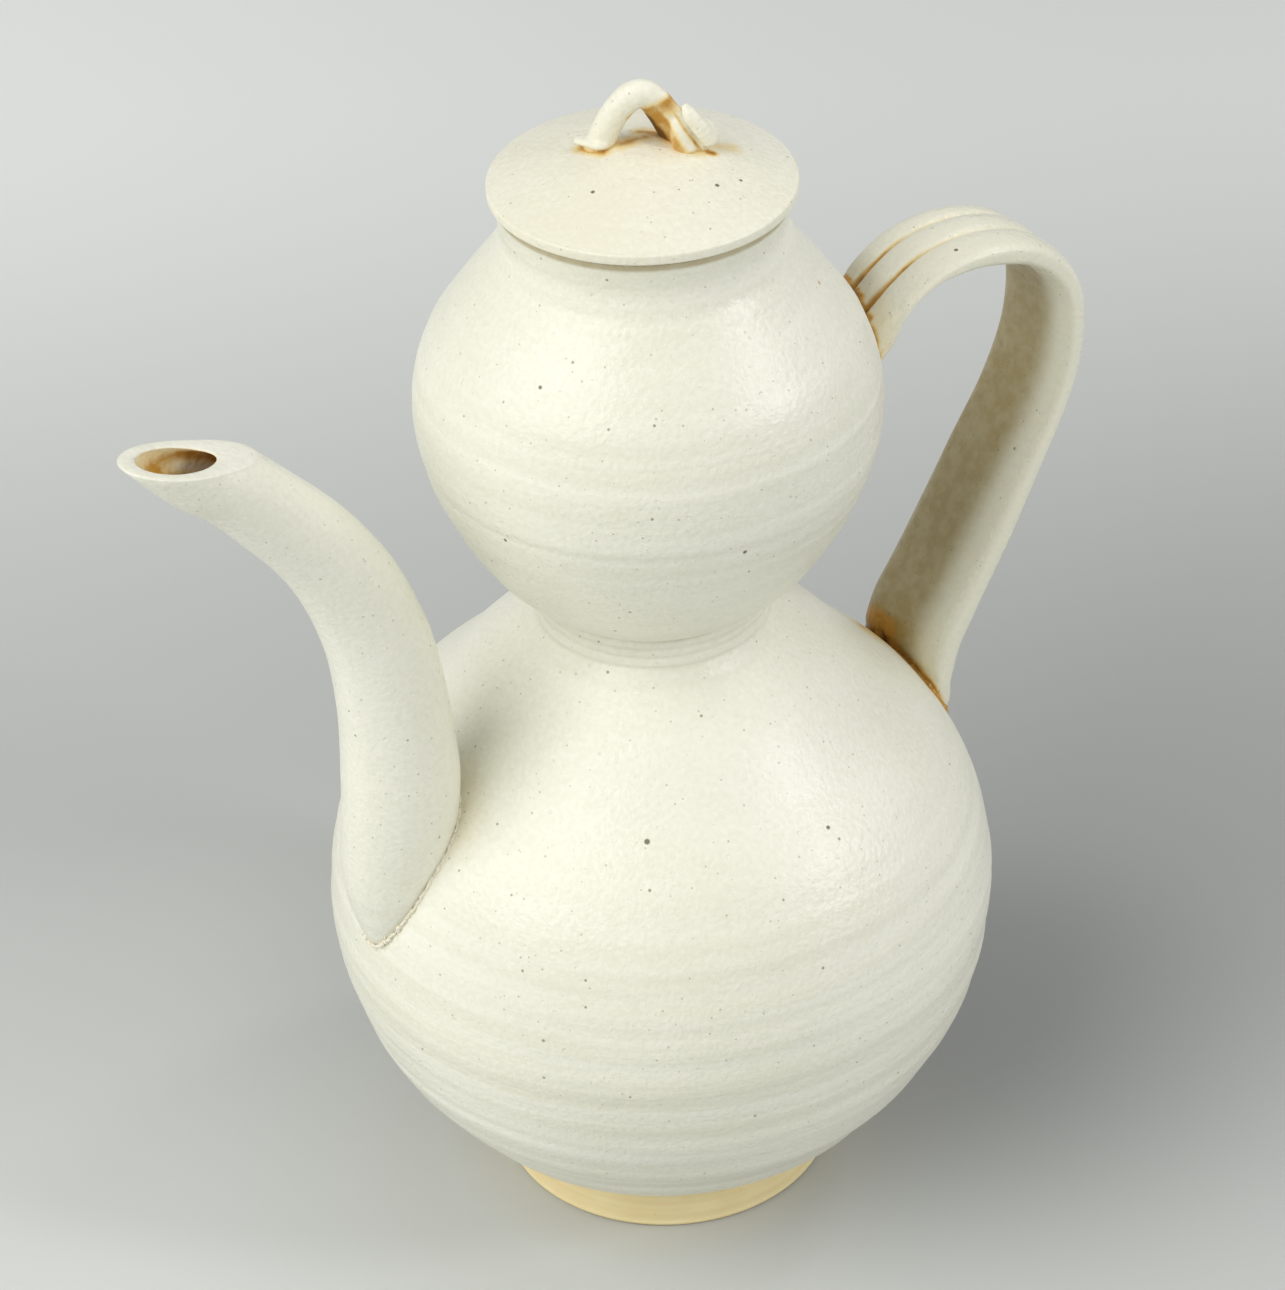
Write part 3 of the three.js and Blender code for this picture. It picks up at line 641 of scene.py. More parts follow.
def strap_glaze():
    colours = bpy.context.scene.ewer_colours
    return glaze("strap glaze", colours.strap, colours.glaze_deep, STRAP_ROUGHNESS, [STRAP_SPOT])


def lid_glaze():
    colours = bpy.context.scene.ewer_colours
    return glaze("lid glaze", colours.lid, colours.lid_deep, LID_ROUGHNESS, lid_spots())


def lid_spots():
    """The centres and radii of the single specks on the lid's dome."""
    sizes = bpy.context.scene.ewer_sizes
    turn = Matrix.Rotation(sizes.knob_turn, 4, "Z")
    return [(tuple(turn @ Vector((x, y, dome_height(sizes, math.hypot(x, y))))), size)
            for x, y, size in LID_SPOTS]


def body_spots():
    """The centres and radii of the single specks, on the skins of the two bulbs."""
    sizes = bpy.context.scene.ewer_sizes
    spots = []
    for outline, rows in ((lower_outline(sizes, OUTLINE_STEPS), LOWER_SPOTS),
                          (upper_outline(sizes, OUTLINE_STEPS), UPPER_SPOTS)):
        for direction, height, size in rows:
            out = np.interp(height, outline[:, 1], outline[:, 0])
            turn = math.radians(direction)
            spots.append(((out * math.cos(turn), out * math.sin(turn), height), size))
    return spots


# Meshes


def new_piece(name, points, faces, edges=(), **attributes):
    """A mesh object at the origin, with its values at its points."""
    mesh = bpy.data.meshes.new(name)
    faces = faces.tolist() if isinstance(faces, np.ndarray) else faces
    mesh.from_pydata(np.asarray(points).tolist(), list(edges), faces)
    for label, values in attributes.items():
        set_values(mesh, label, values)
    mesh.shade_smooth()
    piece = bpy.data.objects.new(name, mesh)
    bpy.context.scene.collection.objects.link(piece)
    return piece


def set_values(mesh, label, values):
    """Writes one number for each point of a mesh, or one for all of them."""
    attribute = mesh.attributes.get(label) or mesh.attributes.new(label, "FLOAT", "POINT")
    attribute.data.foreach_set("value", np.full(len(mesh.vertices), values, np.float32))


def values_of(mesh, label):
    """The numbers of a mesh's points, nought where it has none."""
    values = np.zeros(len(mesh.vertices), np.float32)
    if label in mesh.attributes:
        mesh.attributes[label].data.foreach_get("value", values)
    return values


def points_of(mesh):
    points = np.empty(3 * len(mesh.vertices))
    mesh.vertices.foreach_get("co", points)
    return points.reshape(-1, 3)


def grid_faces(rows, sides, closed_rows=False):
    """Quads over rows of points whose sides run anticlockwise round the way ahead."""
    row = np.arange(rows if closed_rows else rows - 1)[:, None]
    side = np.arange(sides)[None, :]
    ahead, beside = (row + 1) % rows, (side + 1) % sides
    corners = [row * sides + side, row * sides + beside, ahead * sides + beside, ahead * sides + side]
    return np.stack(corners, -1).reshape(-1, 4)


def capped_tube(rings):
    """Points and faces of a tube over rings of points, closed by a fan at each end."""
    rows, sides, _ = rings.shape
    points = np.concatenate([rings.reshape(-1, 3), [rings[0].mean(0)], [rings[-1].mean(0)]])
    faces = grid_faces(rows, sides).tolist()
    first, last, top = rows * sides, rows * sides + 1, (rows - 1) * sides
    for side in range(sides):
        beside = (side + 1) % sides
        faces.append([first, beside, side])
        faces.append([last, top + side, top + beside])
    return points, faces


def finished(piece, material, body, slot, *nodes):
    """Gives a piece its material and its body, and hides the nodes that it stands for. The slot is not used.
    """
    if not piece.data.materials:
        piece.data.materials.append(material)
    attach(piece, body)
    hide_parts(*nodes)
    return piece


def lerp(start, end, share):
    return start + (end - start) * share


def all_round(count):
    """Even directions once round."""
    return np.linspace(0, 2 * math.pi, count, endpoint=False)


def square_to(x, z):
    """Directions square to a line in the XZ plane, to the right of its own direction."""
    ahead = np.stack([np.gradient(x), np.zeros_like(x), np.gradient(z)], -1)
    ahead /= np.linalg.norm(ahead, axis=1)[:, None]
    return np.stack([ahead[:, 2], np.zeros_like(x), -ahead[:, 0]], -1)


def smooth_step(low, high, values):
    share = np.clip((np.asarray(values, float) - low) / (high - low), 0, 1)
    return share * share * (3 - 2 * share)


def smooth_rows(rows, steps):
    """Rows on a smooth line through the rows given, one more than the steps."""
    rows = np.asarray(rows, float)
    place = np.linspace(0, len(rows) - 1, steps + 1)
    row = np.minimum(place.astype(int), len(rows) - 2)
    share = (place - row)[:, None]
    start, end = rows[row], rows[row + 1]
    leave = (end - rows[np.maximum(row - 1, 0)]) / 2
    arrive = (rows[np.minimum(row + 2, len(rows) - 1)] - start) / 2
    return ((2 * start - 2 * end + leave + arrive) * share ** 3
            + (3 * end - 3 * start - 2 * leave - arrive) * share ** 2 + leave * share + start)


def offset_row(row, distance):
    """A row of points in a plane, moved square to itself, to the right of its own direction."""
    ahead = np.gradient(row, axis=0)
    ahead /= np.linalg.norm(ahead, axis=1)[:, None]
    return row + distance * np.stack([ahead[:, 1], -ahead[:, 0]], -1)


def leaving(values):
    """For each line, the place in steps where it last comes out of the values below zero."""
    inside = values < 0
    last = np.clip(len(values) - 1 - np.argmax(inside[::-1], axis=0), 0, len(values) - 2)
    side = np.arange(values.shape[1])
    here, there = values[last, side], values[last + 1, side]
    return last + np.clip(here / np.where(here == there, 1, here - there), 0, 1)


def entering(values):
    """For each line, the place in steps where it first goes into the values below zero."""
    return len(values) - 1 - leaving(values[::-1])


def between(lines, starts, ends, rows):
    """Points at even steps on each line from its start to its end."""
    places = starts[None] + (ends - starts)[None] * np.linspace(0, 1, rows)[:, None]
    low = np.clip(places.astype(int), 0, len(lines) - 2)
    share = (places - low)[..., None]
    side = np.arange(lines.shape[1])[None]
    return lines[low, side] * (1 - share) + lines[low + 1, side] * share


# Bulbs

OUTLINE_STEPS = 240
INNER_STEPS = 90
SPINE_RADIUS = 10 * MM


def lower_outline(sizes, steps):
    under = [(lerp(sizes.foot_top_radius, sizes.belly_radius, r),
              lerp(sizes.foot_height, sizes.belly_height, h)) for r, h in UNDER_BELLY_SHARES]
    shoulder = [(lerp(sizes.waist_radius, sizes.belly_radius, r),
                 lerp(sizes.belly_height, sizes.waist_height, h)) for r, h in SHOULDER_SHARES]
    outline = smooth_rows(under + shoulder, steps)
    outline[:, 0] = np.minimum(outline[:, 0], sizes.belly_radius)
    return outline


def upper_outline(sizes, steps):
    under = [(lerp(sizes.waist_radius + sizes.waist_overhang, sizes.gourd_radius, r),
              lerp(sizes.waist_height, sizes.gourd_height, h)) for r, h in UNDER_GOURD_SHARES]
    top = [(lerp(sizes.neck_radius, sizes.gourd_radius, r),
            lerp(sizes.gourd_height, sizes.neck_height, h)) for r, h in GOURD_TOP_SHARES]
    rows = under + top + [(sizes.mouth_radius, sizes.mouth_height)]
    outline = smooth_rows(rows, steps)
    outline[:, 0] = np.minimum(outline[:, 0], sizes.gourd_radius)
    return outline


def clearance(points, outline):
    """How far points lie outside a turned outline, level with them."""
    radius = np.hypot(points[..., 0], points[..., 1])
    return radius - np.interp(points[..., 2], outline[:, 1], outline[:, 0])


def ring_strength(outline, shares):
    low, high = outline[0, 1], outline[-1, 1]
    shares = np.array(shares)
    return np.interp((outline[:, 1] - low) / (high - low), shares[:, 0], shares[:, 1])


def turned(name, outline, strength, closed, material, thick=None, **inputs):
    """A turned piece from radius and height pairs, with its ring strength and its deep glaze and painted
    shade at each.
    """
    sizes = bpy.context.scene.ewer_sizes
    points = np.stack([outline[:, 0] - SPINE_RADIUS, -outline[:, 1], np.zeros(len(outline))], -1)
    edges = [(i, i + 1) for i in range(len(points) - 1)]
    if closed:
        edges.append((len(points) - 1, 0))
    steps = np.hypot(*np.diff(outline, axis=0, prepend=outline[:1]).T)
    thick = np.zeros(len(outline)) if thick is None else thick
    piece = new_piece(name, points, [], edges, rings=strength, drawn=np.cumsum(steps), thick=thick)
    return with_tree(piece, turned_clay_tree(), sides=sizes.sides, spine_radius=SPINE_RADIUS,
                     ring_pitch=sizes.ring_pitch, material=material, **inputs)


def lower_bulb(sizes):
    """The lower bulb with its neck, walls and floor."""
    outer = lower_outline(sizes, OUTLINE_STEPS)
    shade = np.zeros(len(outer))
    for drop, depth, half_width in NECK_LINES:
        groove = np.exp(-((outer[:, 1] - (sizes.waist_height - drop)) / half_width) ** 2)
        outer[:, 0] -= depth * groove
        shade = np.maximum(shade, min(NECK_LINES_DEEP_AND_SHADE, depth / NECK_LINES_DEPTH) * groove)
    inner = offset_row(lower_outline(sizes, INNER_STEPS), -sizes.lower_wall)
    floor = sizes.foot_height + sizes.lower_floor
    inner = inner[(inner[:, 1] > floor) & (inner[:, 1] < sizes.waist_height)]
    bore = outer[-1, 0] - sizes.lower_wall
    seam = sizes.waist_overhang
    start = [(0, sizes.foot_height), (outer[0, 0] / 2, sizes.foot_height)]
    neck = [(outer[-1, 0], sizes.waist_height + seam), (bore, sizes.waist_height + seam)]
    hearth = [(inner[0, 0], floor), (inner[0, 0] / 2, floor), (0, floor)]
    outline = np.concatenate([start, outer, neck, inner[::-1], hearth])
    strength = np.zeros(len(outline))
    strength[2:2 + len(outer)] = ring_strength(outer, LOWER_RING_SHARES)
    thick = np.zeros(len(outline))
    thick[2:2 + len(outer)] = shade
    piece = turned("lower_bulb_glazed", outline, strength, False, body_glaze(), thick,
                   ring_depth=sizes.ring_depth, seed=2.0)
    points = points_of(piece.data)
    turn = np.arctan2(points[:, 1], points[:, 0])
    mean, swing, waves, drift = NECK_LINES_WAVER
    # Painted shade in the lines, with their deep glaze, strongest toward the camera and the key lamp
    shown = smooth_step(*NECK_LINES_FADE, np.cos(turn - NECK_LINES_FACE))
    shown *= mean + swing * np.sin(waves * turn + drift * points[:, 2])
    set_values(piece.data, "thick", values_of(piece.data, "thick") * shown)
    return piece


def upper_bulb(sizes):
    """The upper bulb with its wall, its collar and its mouth."""
    outer = upper_outline(sizes, OUTLINE_STEPS)
    inner = offset_row(upper_outline(sizes, INNER_STEPS), -sizes.upper_wall)[1:-1]
    waist_bore = sizes.waist_radius - sizes.lower_wall
    mouth_bore = sizes.neck_radius - sizes.upper_wall
    inner = inner[inner[:, 0] > waist_bore]
    ease = sizes.waist_overhang / 2
    rim = sizes.upper_wall / 4
    outer[-1, 0] -= rim / 3
    foot = [(waist_bore, sizes.waist_height), (outer[0, 0] - ease, sizes.waist_height - ease / 4)]
    lip = [(outer[-1, 0] - rim, sizes.mouth_height), (mouth_bore + rim, sizes.mouth_height),
           (mouth_bore, sizes.mouth_height - rim)]
    outline = np.concatenate([foot, outer, lip, inner[::-1]])
    strength = np.zeros(len(outline))
    strength[2:2 + len(outer)] = ring_strength(outer, UPPER_RING_SHARES)
    thick = np.zeros(len(outline))
    # Painted shade under the lid's edge, just below the mouth's rim
    thick[2:2 + len(outer)] = RIM_PAINTED_SHADE * smooth_step(*RIM_SHADE_FADE, outer[:, 1] - sizes.mouth_height)
    return turned("upper_bulb_glazed", outline, strength, True, body_glaze(), thick,
                  ring_depth=sizes.ring_depth, seed=5.0)


# Spout

SPOUT_STEPS = 480
SPOUT_ROWS = 170
SPOUT_SIDES = 96
LIP_ROWS = 12
BORE_ROWS = 90
# The shares of the taper over which the bore moves off the spout's middle
BORE_SHIFTS = (0.7, 1)
# The spout sways fully at this share of the belly's height below its root
SWAY_DROP = 0.5
# How square the lip is: powers of its rise and of its reach
LIP_SQUARENESS = (0.6, 0.8)
# Dents of the spout: depth, dents a metre and seed
SPOUT_DENTS = {"dent_depth": 0.3 * MM, "dents_a_metre": 48.0, "seed": 3.0}
# Strength of the tool marks on the pieces made by hand
HAND_MARKS = 0.3
# Stained glaze in the bore: its strength, the painted shade that it gains further down, and where each of
# the two starts and is full, down from the mouth
BORE_POOL, BORE_SHADE_GAIN = 0.56, 0.16
BORE_POOL_FROM = (0.1 * MM, 1.0 * MM)
BORE_SHADE_GAIN_FROM = (3.5 * MM, 9 * MM)
# A pale patch in the bore: its strength, its middle and half width round the bore, and its middle and
# half width down from the mouth
PALE_PATCH = 0.5
PATCH_TURN, PATCH_TURN_WIDTH = math.radians(88), math.radians(28)
PATCH_DEPTH, PATCH_DEPTH_WIDTH = 4.4 * MM, 1.7 * MM


def spout_line(sizes):
    reach, rise, taper, across = smooth_rows(SPOUT_SHARES, SPOUT_STEPS).T
    x = -reach * sizes.spout_reach
    z = lerp(sizes.spout_root_height, sizes.spout_mouth_height, rise)
    return x, z, taper, across


def spout_lines(sizes, bore):
    """Lines along the spout's outer skin or its bore, one for each side."""
    x, z, taper, across = spout_line(sizes)
    radius = lerp(sizes.spout_root_radius, sizes.spout_mouth_radius, taper)
    wall = lerp(sizes.spout_root_wall, sizes.spout_mouth_wall, taper) if bore else 0
    in_plane = square_to(x, z)
    shift = sizes.spout_bore_shift * smooth_step(*BORE_SHIFTS, taper) * (z > sizes.spout_root_height) * bore
    centre = np.stack([x, np.zeros_like(x), z], -1) - in_plane * shift[:, None]
    angle = all_round(SPOUT_SIDES)
    inward = (radius - wall)[:, None] * np.cos(angle)
    sideways = (radius * across - wall)[:, None] * np.sin(angle)
    lines = centre[:, None] + in_plane[:, None] * inward[..., None]
    below_root = smooth_step(0, 1, (sizes.spout_root_height - z) / sizes.belly_height / SWAY_DROP)
    lines[..., 1] += sideways + (sizes.spout_sway * below_root)[:, None]
    return lines


def mouth_plane(sizes):
    """A point on the spout's slanting mouth and the direction square to it."""
    tilt = sizes.spout_mouth_tilt
    return np.array([-sizes.spout_reach, 0, sizes.spout_mouth_height]), np.array(
        [math.sin(tilt), 0, math.cos(tilt)])


def spout(sizes):
    """The spout as one closed skin: outside, rounded lip and bore."""
    belly = lower_outline(sizes, OUTLINE_STEPS)
    middle, square = mouth_plane(sizes)
    outer, bore = spout_lines(sizes, False), spout_lines(sizes, True)
    drop = sizes.spout_lip
    ends = [entering(-((lines - middle) @ square + drop)) for lines in (outer, bore)]
    sunk = [leaving(clearance(lines, belly) + depth)
            for lines, depth in ((outer, sizes.spout_root_wall / 2), (bore, sizes.lower_wall))]
    outside = between(outer, sunk[0], ends[0], SPOUT_ROWS)
    inside = between(bore, sunk[1], ends[1], BORE_ROWS)[::-1]
    rim, hollow = outside[-1], inside[0]
    turn = np.linspace(0, math.pi, LIP_ROWS + 2)[1:-1, None, None]
    rise = np.sin(turn) ** LIP_SQUARENESS[0]
    reach = np.sign(np.cos(turn)) * np.abs(np.cos(turn)) ** LIP_SQUARENESS[1]
    lip = (rim + hollow) / 2 + (rim - hollow) / 2 * reach + square * drop * rise
    rings = np.concatenate([outside, lip, inside])
    rows = len(rings)
    down_bore = np.zeros((rows, SPOUT_SIDES))
    down_bore[SPOUT_ROWS + LIP_ROWS // 2:] = 1
    piece = new_piece("spout_glazed", rings.reshape(-1, 3), grid_faces(rows, SPOUT_SIDES, True))
    piece = with_tree(piece, worked_clay_tree(), material=body_glaze(), **SPOUT_DENTS)
    depth = -((points_of(piece.data) - middle) @ square)
    angle = np.tile(all_round(SPOUT_SIDES), rows)
    pale = np.exp(-((angle - PATCH_TURN) / PATCH_TURN_WIDTH) ** 2
                  - ((depth - PATCH_DEPTH) / PATCH_DEPTH_WIDTH) ** 2)
    # Stained glaze in the bore, darker further down as painted shade, less in a pale patch
    bore_stain_and_shade = BORE_POOL + BORE_SHADE_GAIN * smooth_step(*BORE_SHADE_GAIN_FROM, depth) - PALE_PATCH * pale
    set_values(piece.data, "pool", down_bore.ravel() * smooth_step(*BORE_POOL_FROM, depth) * bore_stain_and_shade)
    set_values(piece.data, "rings", HAND_MARKS)
    set_values(piece.data, "drawn", np.abs(angle - math.pi) * sizes.spout_root_radius)
    return piece, belly


def seam_line(lines, outline, from_start):
    """Points where lines along a limb cross the skin of a bulb."""
    gap = clearance(lines, outline)
    places = leaving(gap) if from_start else entering(gap)
    return between(lines, places, places, 1)[0]


def bead(name, line, share, **inputs):
    """A pressed bead of clay along a closed line, with the share of its full thickness."""
    sizes = bpy.context.scene.ewer_sizes
    count = len(line)
    edges = [(i, (i + 1) % count) for i in range(count)]
    piece = new_piece(name, line, [], edges)
    return with_tree(piece, pressed_bead_tree(), bead_radius=share * sizes.bead_radius,
                     crumb_size=share * sizes.crumb_size, **inputs)


# Handle

STRAP_STEPS = 520
STRAP_ROWS = 240
ROLL_POINTS = 200
UNDER_POINTS = 60
STRAP_DENTS = {"dent_depth": 0.2 * MM, "dents_a_metre": 60.0, "seed": 6.0}
# The section: powers that square its width and its depth, each groove's dips as depth and half width,
# and the hollow of its inner face
ROLL_SQUARENESS = (0.75, 0.6)
GROOVE_DIPS = ((0.2, 0.17), (0.3, 0.05))
INNER_HOLLOW = 0.14
# Stained glaze in the grooves, by the share along the strap: its half widths and where it narrows, its
# strength, what that loses from one share to another, and where it ends
GROOVE_WIDTHS = (0.07, 0.04)
GROOVE_NARROWS = (0, 0.12)
GROOVE_POOL = 0.86
GROOVE_LOSSES = ((0.24, 0, 0.1), (0.44, 0.12, 0.18))
GROOVE_ENDS = (0.3, 0.6)
# The strap's inner face: how far it reaches round the far edge, and how fast it sets in
INNER_FACE_REACH, INNER_FACE_SET = 0.3, 3
# Puddle on the inner face at the foot: where it lies across, and strengths with their fades off the belly
PUDDLE_ACROSS = (-0.45, 0.35)
PUDDLES = ((0.6, 8 * MM, 4 * MM), (0.28, 3 * MM, 0.3 * MM))
# Stained edge at the foot: strength, fade off the belly, and how deep in the section it starts
FOOT_EDGE, FOOT_EDGE_FADE, FOOT_EDGE_DEPTH = 0.66, (2 * MM, 0.4 * MM), 0.4
# The root's hidden part, off the upper bulb: at the near edge, at the far edge, and the least of it
ROOT_HIDDEN = (1.9 * MM, 7.5 * MM)
ROOT_HIDDEN_LEAST = 2.8 * MM
# Stained edge at the root, with painted contact shadow along where the bulb hides the strap, the near roll's
# stain there, and their fades off the hidden part
ROOT_EDGE_AND_SHADOW, ROOT_EDGE_SHADOW_FADE = 0.68, (0.4 * MM, 0)
NEAR_ROLL_POOL, ROOT_FADE = 0.15, (7 * MM, 0.5 * MM)
# Deep glaze and painted shade on the strap's inner face, darker further down, and painted shade on its outer
# face at the root: where it lies across the inner face, its strength there, what that gains and from where
# to where along the strap, and its strength at the root
DEEP_AND_SHADE_ACROSS = (-0.78, -0.1)
INNER_DEEP_AND_SHADE, INNER_SHADE_GAIN, INNER_SHADE_GAIN_FROM = 0.35, 0.6, (0.05, 0.3)
ROOT_DEEP_AND_SHADE = 0.46


def strap_section():
    """Half width and depth shares round the strap, anticlockwise from its far edge over the rolls."""
    over = np.linspace(0, math.pi, ROLL_POINTS, endpoint=False)
    under = np.linspace(math.pi, 2 * math.pi, UNDER_POINTS, endpoint=False)
    turn = np.concatenate([over, under])
    wide = np.sign(np.cos(turn)) * np.abs(np.cos(turn)) ** ROLL_SQUARENESS[0]
    deep = np.sign(np.sin(turn)) * np.abs(np.sin(turn)) ** ROLL_SQUARENESS[1]
    dips = np.zeros_like(turn)
    for middle in GROOVE_SHARES:
        dips += sum(depth * np.exp(-((wide - middle) / width) ** 2) for depth, width in GROOVE_DIPS)
    hollow = INNER_HOLLOW * (1 - wide ** 2) ** 2
    deep *= np.where(deep > 0, 1 - dips, 1 - hollow)
    return wide, deep


def strap_lines(sizes):
    """Lines along the strap, one for each point of its section."""
    rise = sizes.handle_top - sizes.handle_foot
    shares = smooth_rows(STRAP_SHARES, STRAP_STEPS)
    outer, inner = (np.stack([reach * sizes.handle_reach, 0 * reach, sizes.handle_foot + up * rise], -1)
                    for reach, up in (shares[:, :2].T, shares[:, 2:].T))
    outer[:, 0] = np.minimum(outer[:, 0], sizes.handle_reach)
    middle, half = (outer + inner) / 2, (outer - inner) / 2
    half_width = lerp(sizes.strap_top_width, sizes.strap_foot_width, np.linspace(0, 1, STRAP_STEPS + 1)) / 2
    wide, deep = strap_section()
    lines = middle[:, None] + half[:, None] * deep[:, None]
    lines[..., 1] += half_width[:, None] * wide
    return lines


def strap(sizes):
    """The strap, cut off a little inside both bulbs."""
    lines = strap_lines(sizes)
    sink = sizes.bead_radius
    belly, gourd = lower_outline(sizes, OUTLINE_STEPS), upper_outline(sizes, OUTLINE_STEPS)
    starts = leaving(clearance(lines, gourd) + sink)
    ends = entering(clearance(lines, belly) + sink)
    rings = between(lines, starts, ends, STRAP_ROWS)
    points, faces = capped_tube(rings)
    piece = new_piece("handle_strap_glazed", points, faces)
    piece = with_tree(piece, worked_clay_tree(), material=strap_glaze(), **STRAP_DENTS)
    pool, thick = strap_stains(rings, belly, gourd)
    turn = all_round(rings.shape[1])
    drawn = np.tile(np.abs(turn - math.pi) * sizes.strap_top_width / 2, STRAP_ROWS)
    for label, values in (("pool", pool.ravel()), ("thick", thick.ravel()), ("drawn", drawn),
                          ("rings", np.full(len(drawn), HAND_MARKS))):
        set_values(piece.data, label, np.concatenate([values, np.zeros(2)]))
    return piece


def strap_stains(rings, belly, gourd):
    """Stained glaze, and deep glaze with painted shade, at each point of the strap's rings."""
    wide, deep = strap_section()
    along = np.linspace(0, 1, STRAP_ROWS)[:, None]
    above_belly, above_gourd = clearance(rings, belly), clearance(rings, gourd)
    width = lerp(*GROOVE_WIDTHS, smooth_step(*GROOVE_NARROWS, along))
    groove = np.max([np.exp(-((wide - middle) / width) ** 2) for middle in GROOVE_SHARES], axis=0)
    fade = GROOVE_POOL - sum(loss * smooth_step(low, high, along) for loss, low, high in GROOVE_LOSSES)
    grooves = groove * (deep > 0) * fade * (1 - smooth_step(*GROOVE_ENDS, along))
    inner_face = np.clip(INNER_FACE_REACH * (wide > 0) - INNER_FACE_SET * deep, 0, 1)
    puddle = sum(share * smooth_step(high, low, above_belly) for share, high, low in PUDDLES)
    puddle = puddle * inner_face * smooth_step(*PUDDLE_ACROSS, wide)
    foot_edge = FOOT_EDGE * smooth_step(*FOOT_EDGE_FADE, above_belly) * np.clip(FOOT_EDGE_DEPTH - deep, 0, 1)
    hidden = np.maximum(lerp(*ROOT_HIDDEN, (1 + wide) / 2), ROOT_HIDDEN_LEAST)
    # Pooled glaze and painted contact shadow along where the upper bulb hides the strap
    root_edge_and_shadow = ROOT_EDGE_AND_SHADOW * smooth_step(*ROOT_EDGE_SHADOW_FADE, above_gourd - hidden)
    root = smooth_step(*ROOT_FADE, above_gourd - hidden)
    near_roll = wide < GROOVE_SHARES[0]
    pool = np.max([grooves, puddle, foot_edge, root_edge_and_shadow, NEAR_ROLL_POOL * root * near_roll], axis=0)
    # Painted shade with deep glaze on the inner face, darker down the strap, and painted shade on the outer
    # face by the root
    further_down = INNER_DEEP_AND_SHADE + INNER_SHADE_GAIN * smooth_step(*INNER_SHADE_GAIN_FROM, along)
    inner = inner_face * smooth_step(*DEEP_AND_SHADE_ACROSS, wide) * further_down
    return pool, np.maximum(inner, ROOT_DEEP_AND_SHADE * root * (deep > 0) * ~near_roll)


# Lid and knob

# The power of the dome's curve
DOME_POWER = 1.7
UNDER_STEPS = 24
EDGE_STEPS = 7
DOME_STEPS = 120
# Strength of the throwing rings on the dome, and the shares of its radius over which they set in
DOME_RINGS = 0.25
DOME_RINGS_FROM = (0, 0.2)


def dome_height(sizes, radius):
    """Height of the lid's dome at a radius."""
    edge = sizes.mouth_height + sizes.lid_seat + sizes.lid_rim
    return edge + sizes.lid_rise * (1 - (radius / sizes.lid_radius) ** DOME_POWER)


def dome_under(sizes, points):
    """Height of the lid's dome under each point."""
    return dome_height(sizes, np.hypot(points[:, 0], points[:, 1]))


def lid(sizes):
    """The lid with its plain edge and the flange that reaches into the mouth."""
    seat = sizes.mouth_height + sizes.lid_seat
    flange = sizes.neck_radius - sizes.upper_wall - sizes.flange_clearance
    bore = flange - sizes.flange_wall
    foot = seat - sizes.flange_depth
    inner = np.linspace(0, bore, UNDER_STEPS)
    under = np.stack([inner, dome_height(sizes, inner) - sizes.lid_wall], -1)
    ease = sizes.lid_edge
    down = [(bore, foot + ease), (bore + ease, foot), (flange - ease, foot), (flange, foot + ease),
            (flange, seat - ease), (flange + ease, seat)]
    turn = np.linspace(0, math.pi / 2, EDGE_STEPS)
    shoulder = sizes.lid_radius - ease
    top = dome_height(sizes, shoulder)
    low_edge = np.stack([shoulder + ease * np.sin(turn), seat + ease - ease * np.cos(turn)], -1)
    high_edge = np.stack([shoulder + ease * np.cos(turn), top - ease + ease * np.sin(turn)], -1)
    outer = np.linspace(shoulder, 0, DOME_STEPS)[1:]
    dome = np.stack([outer, dome_height(sizes, outer)], -1)
    outline = np.concatenate([under, down, low_edge, high_edge, dome])
    strength = np.zeros(len(outline))
    strength[-len(dome):] = DOME_RINGS * smooth_step(*DOME_RINGS_FROM, np.linspace(0, 1, len(dome)))
    return turned("lid_glazed", outline, strength, False, lid_glaze(),
                  ring_depth=sizes.ring_depth, seed=8.0)


KNOB_STEPS = 90
KNOB_SIDES = 40
KNOB_VOXEL = 0.2 * MM
BALL_STEPS = 10
TOE_FLATNESS = 0.55
LOOP_SOFTENING, CURL_SOFTENING = 5, 4
LOOP_DENTS = {"dent_depth": 0.12 * MM, "dents_a_metre": 220.0, "seed": 9.0}
CURL_DENTS = {"dent_depth": 0.1 * MM, "dents_a_metre": 260.0, "seed": 4.0}
# Stained glaze on the knob's ribbon, with places down and across it in radii of the coil: where the
# ribbon sets in from its top and from its left
RIBBON_TOP, RIBBON_LEFT = (0.1, 0.9), (-2.4, -2.0)
# Brown on its left and amber in its middle: where each sets in, its strength, what that gains or loses
# further down, and where
BROWN_ACROSS, BROWN, BROWN_GAIN, BROWN_GAIN_FROM = (-0.1, -1.1), 0.5, 0.45, (0.8, 1.7)
AMBER_ACROSS, AMBER, AMBER_LOSS, AMBER_LOSS_FROM = (0.6, 0.0), 0.64, 0.16, (2.3, 3.0)
# Its upper part's stain, and the one in the groove beside its ridge: strength and place
TOP_STAIN, TOP_STAIN_FADE = 0.52, (2.5, 1.4)
RIDGE_GROOVE, RIDGE_GROOVE_AT, RIDGE_GROOVE_WIDTH = 0.46, 0.98, 0.14
# The most stain that the loop takes, and the stain where the curl meets the ribbon
MOST_POOL = 0.95
CURL_SEAM, CURL_SEAM_FADE = 0.4, (1.14, 0.95)
# Stained glaze at the knob's feet, and where it starts and is full, down to the dome
FEET_STAIN, LOOP_FEET_FADE, CURL_FEET_FADE = 0.4, (0.7 * MM, 0.1 * MM), (0.8 * MM, 0.1 * MM)


